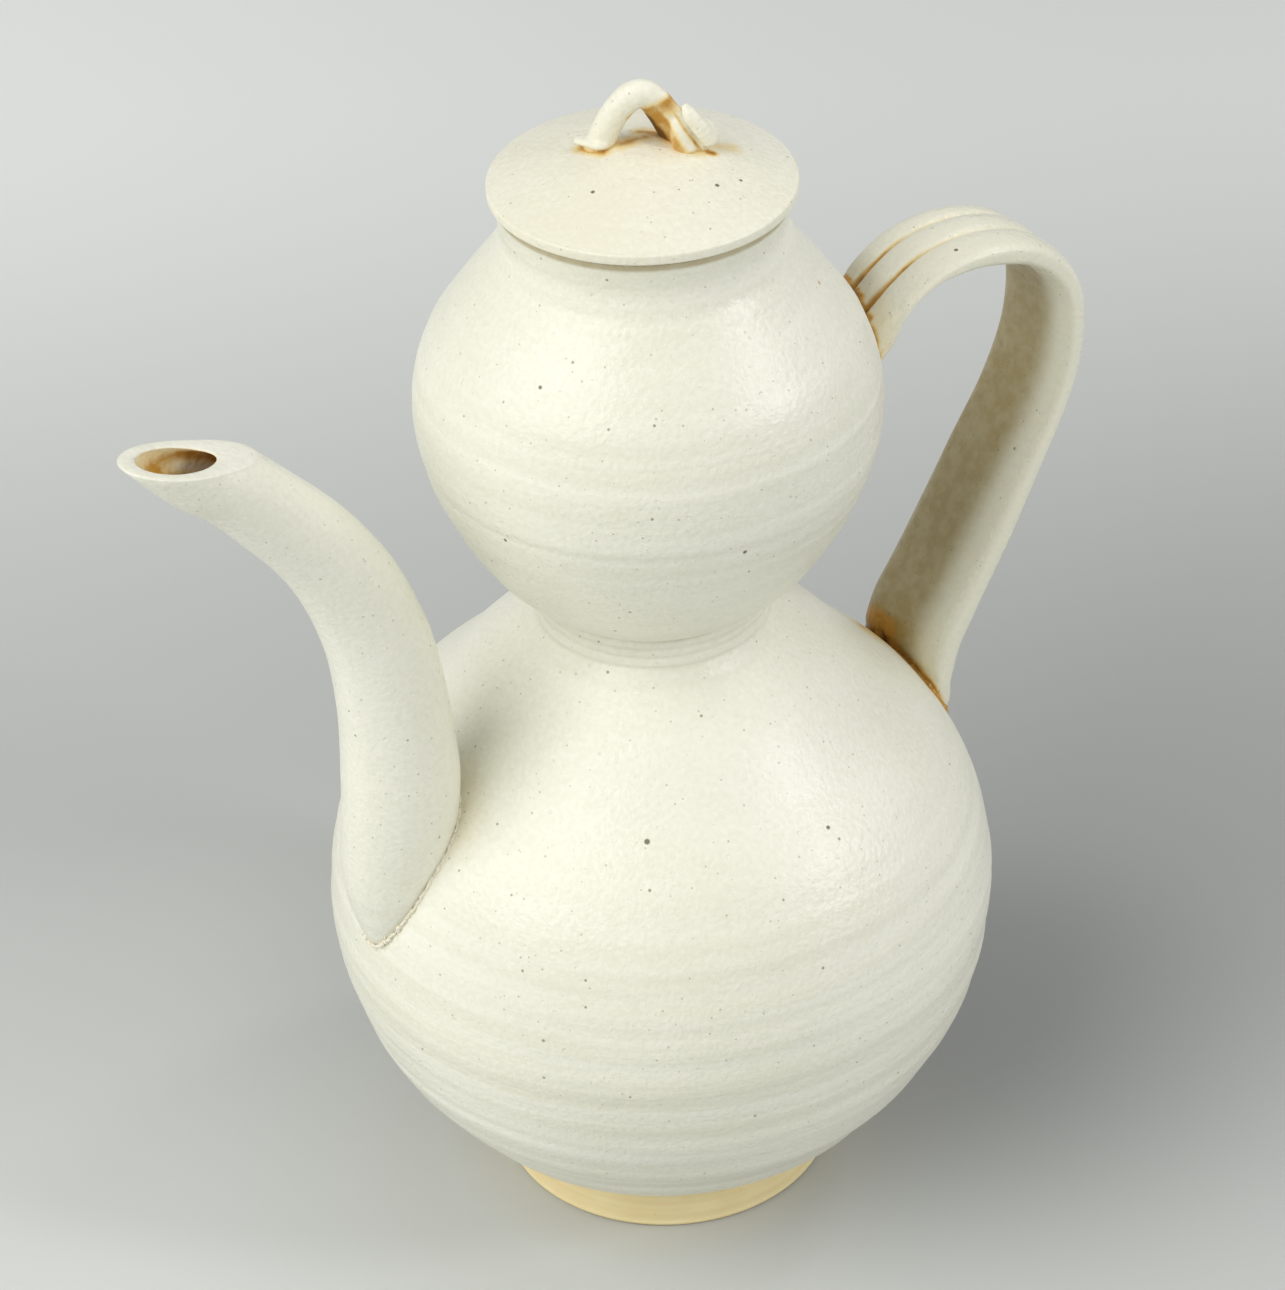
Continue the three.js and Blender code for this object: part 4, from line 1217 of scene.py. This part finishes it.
def knob_rings(sizes):
    """Rings of the knob's coil, in the knob's own plane."""
    span, rise, in_plane_share, across_share, back, slant = smooth_rows(KNOB_SHARES, KNOB_STEPS).T
    x = span * sizes.knob_span / 2
    z = dome_height(sizes, 0) + rise * sizes.knob_height
    in_plane = square_to(x, z)
    angle = all_round(KNOB_SIDES)
    depth = (in_plane_share * sizes.knob_coil)[:, None] * np.cos(angle)
    width = (across_share * sizes.knob_coil)[:, None] * np.sin(angle)
    rings = np.stack([x, back * sizes.knob_coil, z], -1)[:, None] + in_plane[:, None] * depth[..., None]
    rings[..., 1] += width + slant[:, None] * depth
    return rings


def knob_place(sizes, share):
    """A point from shares of the knob's half span and height and of the coil's radius."""
    span, rise, back = share
    return Vector((span * sizes.knob_span / 2, back * sizes.knob_coil,
                   dome_height(sizes, 0) + rise * sizes.knob_height))


def ball_row(sizes, shares, flatness=1.0):
    """Overlapping balls of clay along a line of shares."""
    parts = []
    for row in smooth_rows(shares, BALL_STEPS):
        size = row[3] * sizes.knob_coil
        parts.append(lump(knob_place(sizes, row[:3]), (size, size, size * flatness)))
    return parts


def lump(middle, radii):
    """Points and faces of a round lump with its three radii."""
    ball = bmesh.new()
    bmesh.ops.create_icosphere(ball, subdivisions=3, radius=1.0)
    ball.transform(Matrix.Translation(middle) @ Matrix.Diagonal((*radii, 1)))
    points = [tuple(v.co) for v in ball.verts]
    faces = [[v.index for v in face.verts] for face in ball.faces]
    ball.free()
    return np.array(points), faces


def ribbon_place(sizes, places):
    """How far points lie down the knob's ribbon and to the right of its middle, in radii of the coil."""
    start, end = (knob_place(sizes, share) for share in RIBBON_SHARES)
    ahead = (end - start).normalized()
    offset = places - np.array(start)
    down = offset[:, 0] * ahead.x + offset[:, 2] * ahead.z
    right = -offset[:, 0] * ahead.z + offset[:, 2] * ahead.x
    return down / sizes.knob_coil, right / sizes.knob_coil


def joined(parts):
    """Points and faces of several closed shapes as one list."""
    points, faces, start = [], [], 0
    for part_points, part_faces in parts:
        points.append(part_points)
        faces += [[start + corner for corner in face] for face in part_faces]
        start += len(part_points)
    return np.concatenate(points), faces


def fused(piece, voxel, smoothing):
    """Fuses a piece's overlapping shapes into one skin and softens it."""
    remesh = piece.modifiers.new("Fuse", "REMESH")
    remesh.mode = "VOXEL"
    remesh.voxel_size = voxel
    soften = piece.modifiers.new("Soften", "SMOOTH")
    soften.factor = 0.5
    soften.iterations = smoothing
    plain(piece).data.shade_smooth()
    return piece


def settled(piece, sizes):
    """Keeps the hidden foot of a knob's piece inside the lid's wall, and gives its points."""
    points = points_of(piece.data)
    points[:, 2] = np.maximum(points[:, 2], dome_under(sizes, points) - sizes.lid_wall / 2)
    piece.data.vertices.foreach_set("co", points.ravel())
    return points


def turn_knob(piece, sizes):
    piece.data.transform(Matrix.Rotation(sizes.knob_turn, 4, "Z"))
    piece.data.update()


def knob_loop(sizes):
    """The knob's coil with its ribbon, the ridge along it and its flat toe."""
    parts = [capped_tube(knob_rings(sizes))]
    parts += ball_row(sizes, RIDGE_SHARES) + ball_row(sizes, FILL_SHARES)
    parts += ball_row(sizes, TOE_SHARES, TOE_FLATNESS)
    points, faces = joined(parts)
    piece = fused(new_piece("knob_loop_glazed", points, faces), KNOB_VOXEL, LOOP_SOFTENING)
    places = settled(piece, sizes)
    down, right = ribbon_place(sizes, places)
    ribbon = smooth_step(*RIBBON_TOP, down) * smooth_step(*RIBBON_LEFT, right)
    brown = smooth_step(*BROWN_ACROSS, right) * (BROWN + BROWN_GAIN * smooth_step(*BROWN_GAIN_FROM, down))
    amber = smooth_step(*AMBER_ACROSS, right) * (AMBER - AMBER_LOSS * smooth_step(*AMBER_LOSS_FROM, down))
    top = TOP_STAIN * smooth_step(*TOP_STAIN_FADE, down)
    groove = RIDGE_GROOVE * np.exp(-((right - RIDGE_GROOVE_AT) / RIDGE_GROOVE_WIDTH) ** 2)
    feet = FEET_STAIN * smooth_step(*LOOP_FEET_FADE, places[:, 2] - dome_under(sizes, places))
    pool = np.maximum(ribbon * np.max([brown, amber, top, groove], axis=0), feet)
    piece = with_tree(piece, worked_clay_tree(), material=lid_glaze(), **LOOP_DENTS)
    set_values(piece.data, "pool", np.clip(pool, 0, MOST_POOL))
    turn_knob(piece, sizes)
    return piece


def knob_curl(sizes):
    """The short roll of clay laid against the loop's right end."""
    points, faces = joined(ball_row(sizes, CURL_SHARES) + ball_row(sizes, FOLD_SHARES))
    piece = fused(new_piece("knob_curl_glazed", points, faces), KNOB_VOXEL, CURL_SOFTENING)
    places = settled(piece, sizes)
    feet = FEET_STAIN * smooth_step(*CURL_FEET_FADE, places[:, 2] - dome_under(sizes, places))
    seam = CURL_SEAM * smooth_step(*CURL_SEAM_FADE, ribbon_place(sizes, places)[1])
    piece = with_tree(piece, worked_clay_tree(), material=lid_glaze(), **CURL_DENTS)
    set_values(piece.data, "pool", np.maximum(feet, seam))
    turn_knob(piece, sizes)
    return piece


# Stains and painted shade on the bulbs and the lid

# Ends of the stain that runs from the handle's foot over the shoulder
BLUSH_ENDS = ((44 * MM, -0.5 * MM, 93.6 * MM), (49 * MM, 0, 88.5 * MM))
BLUSH_POINTS = 12
LID_STAIN_POINTS = 24
# Reach and strength of each stain on the bulbs and the spout, and of the painted shade beside the spout's
# root and in its seam
FOOT_STAIN = (11 * MM, 0.42)
BLUSH_STAIN = (7 * MM, 0.4)
GOURD_STAIN = (1.2 * MM, 0.66)
SPOUT_ROOT_PAINTED_SHADE = (9 * MM, 0.13)
ROOT_EDGE_STAIN = (1.6 * MM, 0.14)
SPOUT_SEAM_PAINTED_SHADE = (1.3 * MM, 0.5)
# How far to the near side the foot's stain reaches, and how high up the belly's radius the painted shade
# beside the spout's root starts
FOOT_STAIN_NEAR = -4 * MM
SPOUT_ROOT_SHADE_RISE = 0.55
# Stains on the lid round the knob, in the knob's own frame: two ends, reach and strength. The second to the
# fourth, under the knob's arch and ribbon, are painted shade as well as stain
LID_STAINS_AND_SHADE = [
    ((-9.4 * MM, 1.4 * MM), (-6.2 * MM, -1.2 * MM), 2.3 * MM, 0.7),
    ((-3.2 * MM, 0.4 * MM), (0.5 * MM, 2.6 * MM), 2.8 * MM, 0.55),
    ((0.2 * MM, 4.8 * MM), (2.9 * MM, 3.8 * MM), 3.0 * MM, 0.6),
    ((2.9 * MM, 3.8 * MM), (5.0 * MM, 1.6 * MM), 2.6 * MM, 0.66),
    ((6.4 * MM, -0.8 * MM), (9.4 * MM, -1.2 * MM), 2.4 * MM, 0.34),
    ((12.0 * MM, 2.0 * MM), (14.2 * MM, 2.4 * MM), 3.0 * MM, 0.3),
    ((10.7 * MM, -0.7 * MM), (11.2 * MM, -0.8 * MM), 1.4 * MM, 0.9),
]


def stain_and_shade(piece, line, reach, strength, label="pool"):
    """Raises a piece's pooled-glaze value, or its deep-glaze value, near a line of points: for stains, and
    for painted shade.
    """
    tree = kdtree.KDTree(len(line))
    for index, point in enumerate(line):
        tree.insert(point, index)
    tree.balance()
    mesh = piece.data
    points = points_of(mesh)
    low, high = line.min(0) - reach, line.max(0) + reach
    values = values_of(mesh, label)
    for index in np.flatnonzero(np.all((points > low) & (points < high), axis=1)):
        distance = tree.find(points[index])[2]
        values[index] = max(values[index], strength * max(0.0, 1 - distance / reach))
    set_values(mesh, label, values)


def stain_and_shade_lid(piece, sizes):
    """Stains the lid round the knob's feet, and paints shade under the knob's arch."""
    turn = Matrix.Rotation(sizes.knob_turn, 4, "Z")
    for start, end, reach, strength in LID_STAINS_AND_SHADE:
        flat = np.linspace(start, end, LID_STAIN_POINTS)
        line = [turn @ Vector((x, y, z)) for (x, y), z in zip(flat, dome_under(sizes, flat))]
        stain_and_shade(piece, np.array(line), reach, strength)


# Operators

# The foot: the rounding of its lower edge, steps round that, up its side and over its underside, and the
# depth of its turning marks
FOOT_BEVEL = 0.9 * MM
BEVEL_STEPS, FOOT_STEPS, BASE_STEPS = 7, 40, 12
FOOT_RING_DEPTH = 0.12 * MM
# The bead round the spout's root: its share of the full thickness, its clay and its stain
SPOUT_BEAD = 0.55
SPOUT_BEAD_CLAY = {"wander": 1.0 * MM, "crumb_spacing": 0.7 * MM, "seed": 2}
SPOUT_BEAD_POOL = 0.1
# The beads at the handle's joins: name, node, share of the full thickness and stain, and their clay
HANDLE_JOINS = (("handle_upper_join", "handle_upper_luting", 0.6, 0.5),
                ("handle_lower_join", "handle_lower_luting", 1.0, 0.6))
HANDLE_BEAD_CLAY = {"wander": 0.5 * MM, "crumb_spacing": 1.2 * MM, "seed": 5}


class EwerPiece:
    """What every operator of the ewer shares."""

    bl_options = {"REGISTER", "UNDO"}

    def execute(self, context):
        self.build(context.scene.ewer_sizes)
        return {"FINISHED"}


class EWER_OT_foot(EwerPiece, bpy.types.Operator):
    """Turns the bare foot"""

    bl_idname = "ewer.foot"
    bl_label = "Foot"

    def build(self, sizes):
        bevel = FOOT_BEVEL
        turn = np.linspace(-math.pi / 2, 0, BEVEL_STEPS)
        edge = np.stack([sizes.foot_radius - bevel + bevel * np.cos(turn), bevel + bevel * np.sin(turn)], -1)
        height = np.linspace(bevel, sizes.foot_height, FOOT_STEPS)[1:]
        share = (height - bevel) / (sizes.foot_height - bevel)
        side = np.stack([lerp(sizes.foot_radius, sizes.foot_top_radius, share), height], -1)
        base = np.linspace((0, 0), (edge[0, 0], 0), BASE_STEPS)[:-1]
        outline = np.concatenate([base, edge, side, [(0, sizes.foot_height)]])
        strength = np.zeros(len(outline))
        strength[-len(side) - 1:-1] = 1
        piece = turned("foot_bare", outline, strength, False, bare_clay(),
                       ring_depth=FOOT_RING_DEPTH, seed=1.0)
        finished(piece, bare_clay(), "jug", "bare_clay", "foot_disc")


class EWER_OT_bulbs(EwerPiece, bpy.types.Operator):
    """Turns the lower and the upper bulb"""

    bl_idname = "ewer.bulbs"
    bl_label = "Bulbs"

    def build(self, sizes):
        strap_skin = strap_lines(sizes)
        belly = lower_outline(sizes, OUTLINE_STEPS)
        gourd = upper_outline(sizes, OUTLINE_STEPS)
        lower, upper = lower_bulb(sizes), upper_bulb(sizes)
        foot_seam = seam_line(strap_skin, belly, False)
        top_half = (foot_seam[:, 0] < foot_seam[:, 0].mean()) & (foot_seam[:, 1] > FOOT_STAIN_NEAR)
        stain_and_shade(lower, foot_seam[top_half], *FOOT_STAIN)
        stain_and_shade(lower, np.linspace(*BLUSH_ENDS, BLUSH_POINTS), *BLUSH_STAIN)
        stain_and_shade(upper, seam_line(strap_skin, gourd, True), *GOURD_STAIN)
        root = seam_line(spout_lines(sizes, False), belly, True)
        # Painted shade on the belly beside the near side of the spout's root, high up
        start = sizes.belly_height + SPOUT_ROOT_SHADE_RISE * sizes.belly_radius
        stain_and_shade(lower, root[(root[:, 1] < 0) & (root[:, 2] > start)], *SPOUT_ROOT_PAINTED_SHADE)
        stain_and_shade(lower, root, *ROOT_EDGE_STAIN)
        finished(lower, body_glaze(), "jug", "body_glaze", "lower_bulb")
        finished(upper, body_glaze(), "jug", "body_glaze", "upper_bulb")


class EWER_OT_spout(EwerPiece, bpy.types.Operator):
    """Draws the hollow spout and the bead round its root"""

    bl_idname = "ewer.spout"
    bl_label = "Spout"

    def build(self, sizes):
        piece, belly = spout(sizes)
        root = seam_line(spout_lines(sizes, False), belly, True)
        # Painted shade in the groove along the spout's seam
        stain_and_shade(piece, root, *SPOUT_SEAM_PAINTED_SHADE, "thick")
        finished(piece, body_glaze(), "jug", "body_glaze", "spout")
        ring = bead("spout_join", root, SPOUT_BEAD, material=body_glaze(), **SPOUT_BEAD_CLAY)
        set_values(ring.data, "pool", SPOUT_BEAD_POOL)
        finished(ring, body_glaze(), "jug", "luting_clay", "spout_luting")


class EWER_OT_handle(EwerPiece, bpy.types.Operator):
    """Draws the ridged strap and the pressed clay at its two joins"""

    bl_idname = "ewer.handle"
    bl_label = "Handle"

    def build(self, sizes):
        finished(strap(sizes), strap_glaze(), "jug", "strap_glaze", "handle_strap")
        lines = strap_lines(sizes)
        seams = (seam_line(lines, upper_outline(sizes, OUTLINE_STEPS), True),
                 seam_line(lines, lower_outline(sizes, OUTLINE_STEPS), False))
        for seam, (name, node, share, pool) in zip(seams, HANDLE_JOINS):
            ring = bead(name, seam, share, material=strap_glaze(), **HANDLE_BEAD_CLAY)
            set_values(ring.data, "pool", pool)
            finished(ring, strap_glaze(), "jug", "luting_clay", node)


class EWER_OT_lid(EwerPiece, bpy.types.Operator):
    """Turns the lid"""

    bl_idname = "ewer.lid"
    bl_label = "Lid"

    def build(self, sizes):
        piece = lid(sizes)
        stain_and_shade_lid(piece, sizes)
        finished(piece, lid_glaze(), "lid", "lid_glaze", "lid")


class EWER_OT_knob(EwerPiece, bpy.types.Operator):
    """Rolls the knob's loop and its curl"""

    bl_idname = "ewer.knob"
    bl_label = "Knob"

    def build(self, sizes):
        finished(knob_loop(sizes), lid_glaze(), "lid", "lid_glaze", "knob_loop")
        finished(knob_curl(sizes), lid_glaze(), "lid", "lid_glaze", "knob_curl")


# Stage: the floor, the lamps and the camera

CAMERA_DISTANCE = 588.144 * MM
CAMERA_HEIGHT = 523.035 * MM
CAMERA_PITCH = math.radians(35.244)
CAMERA_YAW = math.radians(-0.2055)
CAMERA_ROLL = math.radians(-1.646)
CAMERA_AZIMUTH = math.radians(-32.5)
CAMERA_LENS = 117.209
CAMERA_SENSOR = 36.0
CAMERA_CLIP = 20
# The middle of the ewer, which the lamps point at
EWER_MIDDLE = Vector((0, 0, 0.11))
# Lamps: name, degrees to the right of the camera and up, distance, power, width, height and tint
LAMPS = (
    ("Key lamp", (-57, 40, 1.8), 25.5, 2.0, 1.8, (1, 0.995, 0.97)),
    ("Window lamp", (70, 29, 1.5), 5.2, 0.24, 0.42, (1, 1, 1)),
    ("Back lamp", (118, 50, 1.6), 1.6, 0.26, 0.26, (1, 1, 1)),
    ("Side lamp", (97, 37, 1.7), 2.9, 1.2, 1.2, (1, 0.99, 0.97)),
)
SKY_COLOUR, SKY_STRENGTH = (0.97, 0.98, 1.0, 1.0), 0.43
FLOOR_RADIUS, FLOOR_SIDES, FLOOR_DROP = 3.0, 96, 0.05 * MM
# Painted light on the floor: its lightness in the camera's own directions, from and to where it changes, and
# from and to what
FLOOR_FAR = (0.1, 0.42, 0.0, 0.64)
FLOOR_CLOSE = (0.08, -0.06, 0.0, 0.32)
FLOOR_ACROSS = (0.15, -0.25, 0.86, 1.12)
FLOOR_CORNER_ACROSS, FLOOR_CORNER_CLOSE = (-0.03, -0.1, 0.0, 0.16), (0.12, 0.05)
# Painted shadow on the floor right of the foot: its middle, and the distances from there over which it
# deepens, from none to its full loss of lightness
FLOOR_PAINTED_SHADOW_MIDDLE, FLOOR_PAINTED_SHADOW = (0.06, 0.01, 0.0), (0.08, 0.0, 0.0, -0.3)


def around(azimuth, elevation, distance):
    """A point round the ewer's middle: degrees to the right of the camera, degrees up, and metres."""
    turn, rise = math.radians(azimuth), math.radians(elevation)
    level = Vector((math.sin(turn) * math.cos(rise), -math.cos(turn) * math.cos(rise), math.sin(rise)))
    return EWER_MIDDLE + Matrix.Rotation(CAMERA_AZIMUTH, 3, "Z") @ level * distance


def lamp(name, direction, power, width, height, tint):
    """A soft oval lamp that points at the ewer's middle."""
    place = around(*direction)
    data = bpy.data.lights.new(name, "AREA")
    data.shape = "ELLIPSE"
    data.size, data.size_y = width, height
    data.energy, data.color = power, tint
    lamp_object = bpy.data.objects.new(name, data)
    lamp_object.location = place
    lamp_object.rotation_euler = (EWER_MIDDLE - place).to_track_quat("-Z", "Y").to_euler()
    bpy.context.scene.collection.objects.link(lamp_object)


def photo_camera():
    """The camera where the photograph was taken from."""
    pitch, yaw, roll = CAMERA_PITCH, CAMERA_YAW, CAMERA_ROLL
    ahead = Vector((math.sin(yaw) * math.cos(pitch), math.cos(yaw) * math.cos(pitch), -math.sin(pitch)))
    right = ahead.cross(Vector((0, 0, 1))).normalized()
    up = right.cross(ahead)
    right, up = (math.cos(roll) * right + math.sin(roll) * up, math.cos(roll) * up - math.sin(roll) * right)
    pose = Matrix((right, up, -ahead)).transposed().to_4x4()
    pose.translation = Vector((0, -CAMERA_DISTANCE, CAMERA_HEIGHT))
    data = bpy.data.cameras.new("Camera")
    data.lens, data.sensor_width, data.sensor_fit = CAMERA_LENS, CAMERA_SENSOR, "AUTO"
    data.clip_end = CAMERA_CLIP
    camera = bpy.data.objects.new("Camera", data)
    camera.matrix_world = Matrix.Rotation(CAMERA_AZIMUTH, 4, "Z") @ pose
    bpy.context.scene.collection.objects.link(camera)
    bpy.context.scene.camera = camera


def floor_finish():
    """A matt pale floor with painted light, lighter far away, close by and to the left, and a painted shadow
    right of the foot.
    """
    colours = bpy.context.scene.ewer_colours
    material, graph, place = new_material("pale floor")
    level = graph.node("ShaderNodeVectorRotate", {"Vector": place, "Angle": -CAMERA_AZIMUTH},
                       rotation_type="Z_AXIS").outputs[0]
    parts = graph.node("ShaderNodeSeparateXYZ", {0: level}).outputs
    corner = graph.sum("MULTIPLY", graph.ramp(parts[0], *FLOOR_CORNER_ACROSS),
                       graph.ramp(parts[1], *FLOOR_CORNER_CLOSE))
    away = graph.node("ShaderNodeVectorMath", {0: level, 1: FLOOR_PAINTED_SHADOW_MIDDLE}, operation="DISTANCE")
    # Painted light and painted shadow in the floor's colour
    light = graph.total(graph.ramp(parts[1], *FLOOR_FAR), graph.ramp(parts[1], *FLOOR_CLOSE),
                        graph.ramp(parts[0], *FLOOR_ACROSS), corner,
                        graph.ramp(away.outputs[1], *FLOOR_PAINTED_SHADOW))
    skin = graph.vector("SCALE", Vector(colours.floor), light, 3)
    finish_material(graph, Base_Color=skin, Roughness=FLOOR_ROUGHNESS)
    return material


class EWER_OT_stage(bpy.types.Operator):
    """Sets out the floor, the lamps and the camera"""

    bl_idname = "ewer.stage"
    bl_label = "Stage"

    def execute(self, context):
        scene = context.scene
        scene.view_settings.view_transform = "Standard"
        angle = all_round(FLOOR_SIDES)
        ring = np.stack([FLOOR_RADIUS * np.cos(angle), FLOOR_RADIUS * np.sin(angle),
                         np.full(FLOOR_SIDES, -FLOOR_DROP)], -1)
        floor = new_piece("floor", ring, [list(range(len(ring)))])
        floor.data.materials.append(floor_finish())

        world = bpy.data.worlds.new("Studio")
        world.use_nodes = True
        graph = Graph(world.node_tree)
        sky = graph.node("ShaderNodeBackground", {"Color": SKY_COLOUR, "Strength": SKY_STRENGTH})
        graph.node("ShaderNodeOutputWorld", {"Surface": sky.outputs[0]})
        scene.world = world

        for row in LAMPS:
            lamp(*row)
        photo_camera()
        return {"FINISHED"}


BUILD_ORDER = ("stage", "foot", "bulbs", "spout", "handle", "lid", "knob")


class EWER_PT_panel(bpy.types.Panel):
    """Lists the ewer's pieces, its sizes and its colours"""

    bl_idname = "EWER_PT_panel"
    bl_label = "Double gourd ewer"
    bl_space_type = "VIEW_3D"
    bl_region_type = "UI"
    bl_category = "Ewer"

    def draw(self, context):
        layout = self.layout
        for name in BUILD_ORDER:
            layout.operator(f"ewer.{name}")
        for group in (context.scene.ewer_sizes, context.scene.ewer_colours):
            box = layout.box()
            for name in group.__annotations__:
                box.prop(group, name)


CLASSES = (EwerSizes, EwerColours, EWER_OT_stage, EWER_OT_foot, EWER_OT_bulbs, EWER_OT_spout,
           EWER_OT_handle, EWER_OT_lid, EWER_OT_knob, EWER_PT_panel)


def register():
    for cls in CLASSES:
        bpy.utils.register_class(cls)
    bpy.types.Scene.ewer_sizes = PointerProperty(type=EwerSizes)
    bpy.types.Scene.ewer_colours = PointerProperty(type=EwerColours)


def unregister():
    del bpy.types.Scene.ewer_colours
    del bpy.types.Scene.ewer_sizes
    for cls in reversed(CLASSES):
        bpy.utils.unregister_class(cls)


def main():
    register()
    for name in BUILD_ORDER:
        getattr(bpy.ops.ewer, name)()


if __name__ == "__main__":
    main()
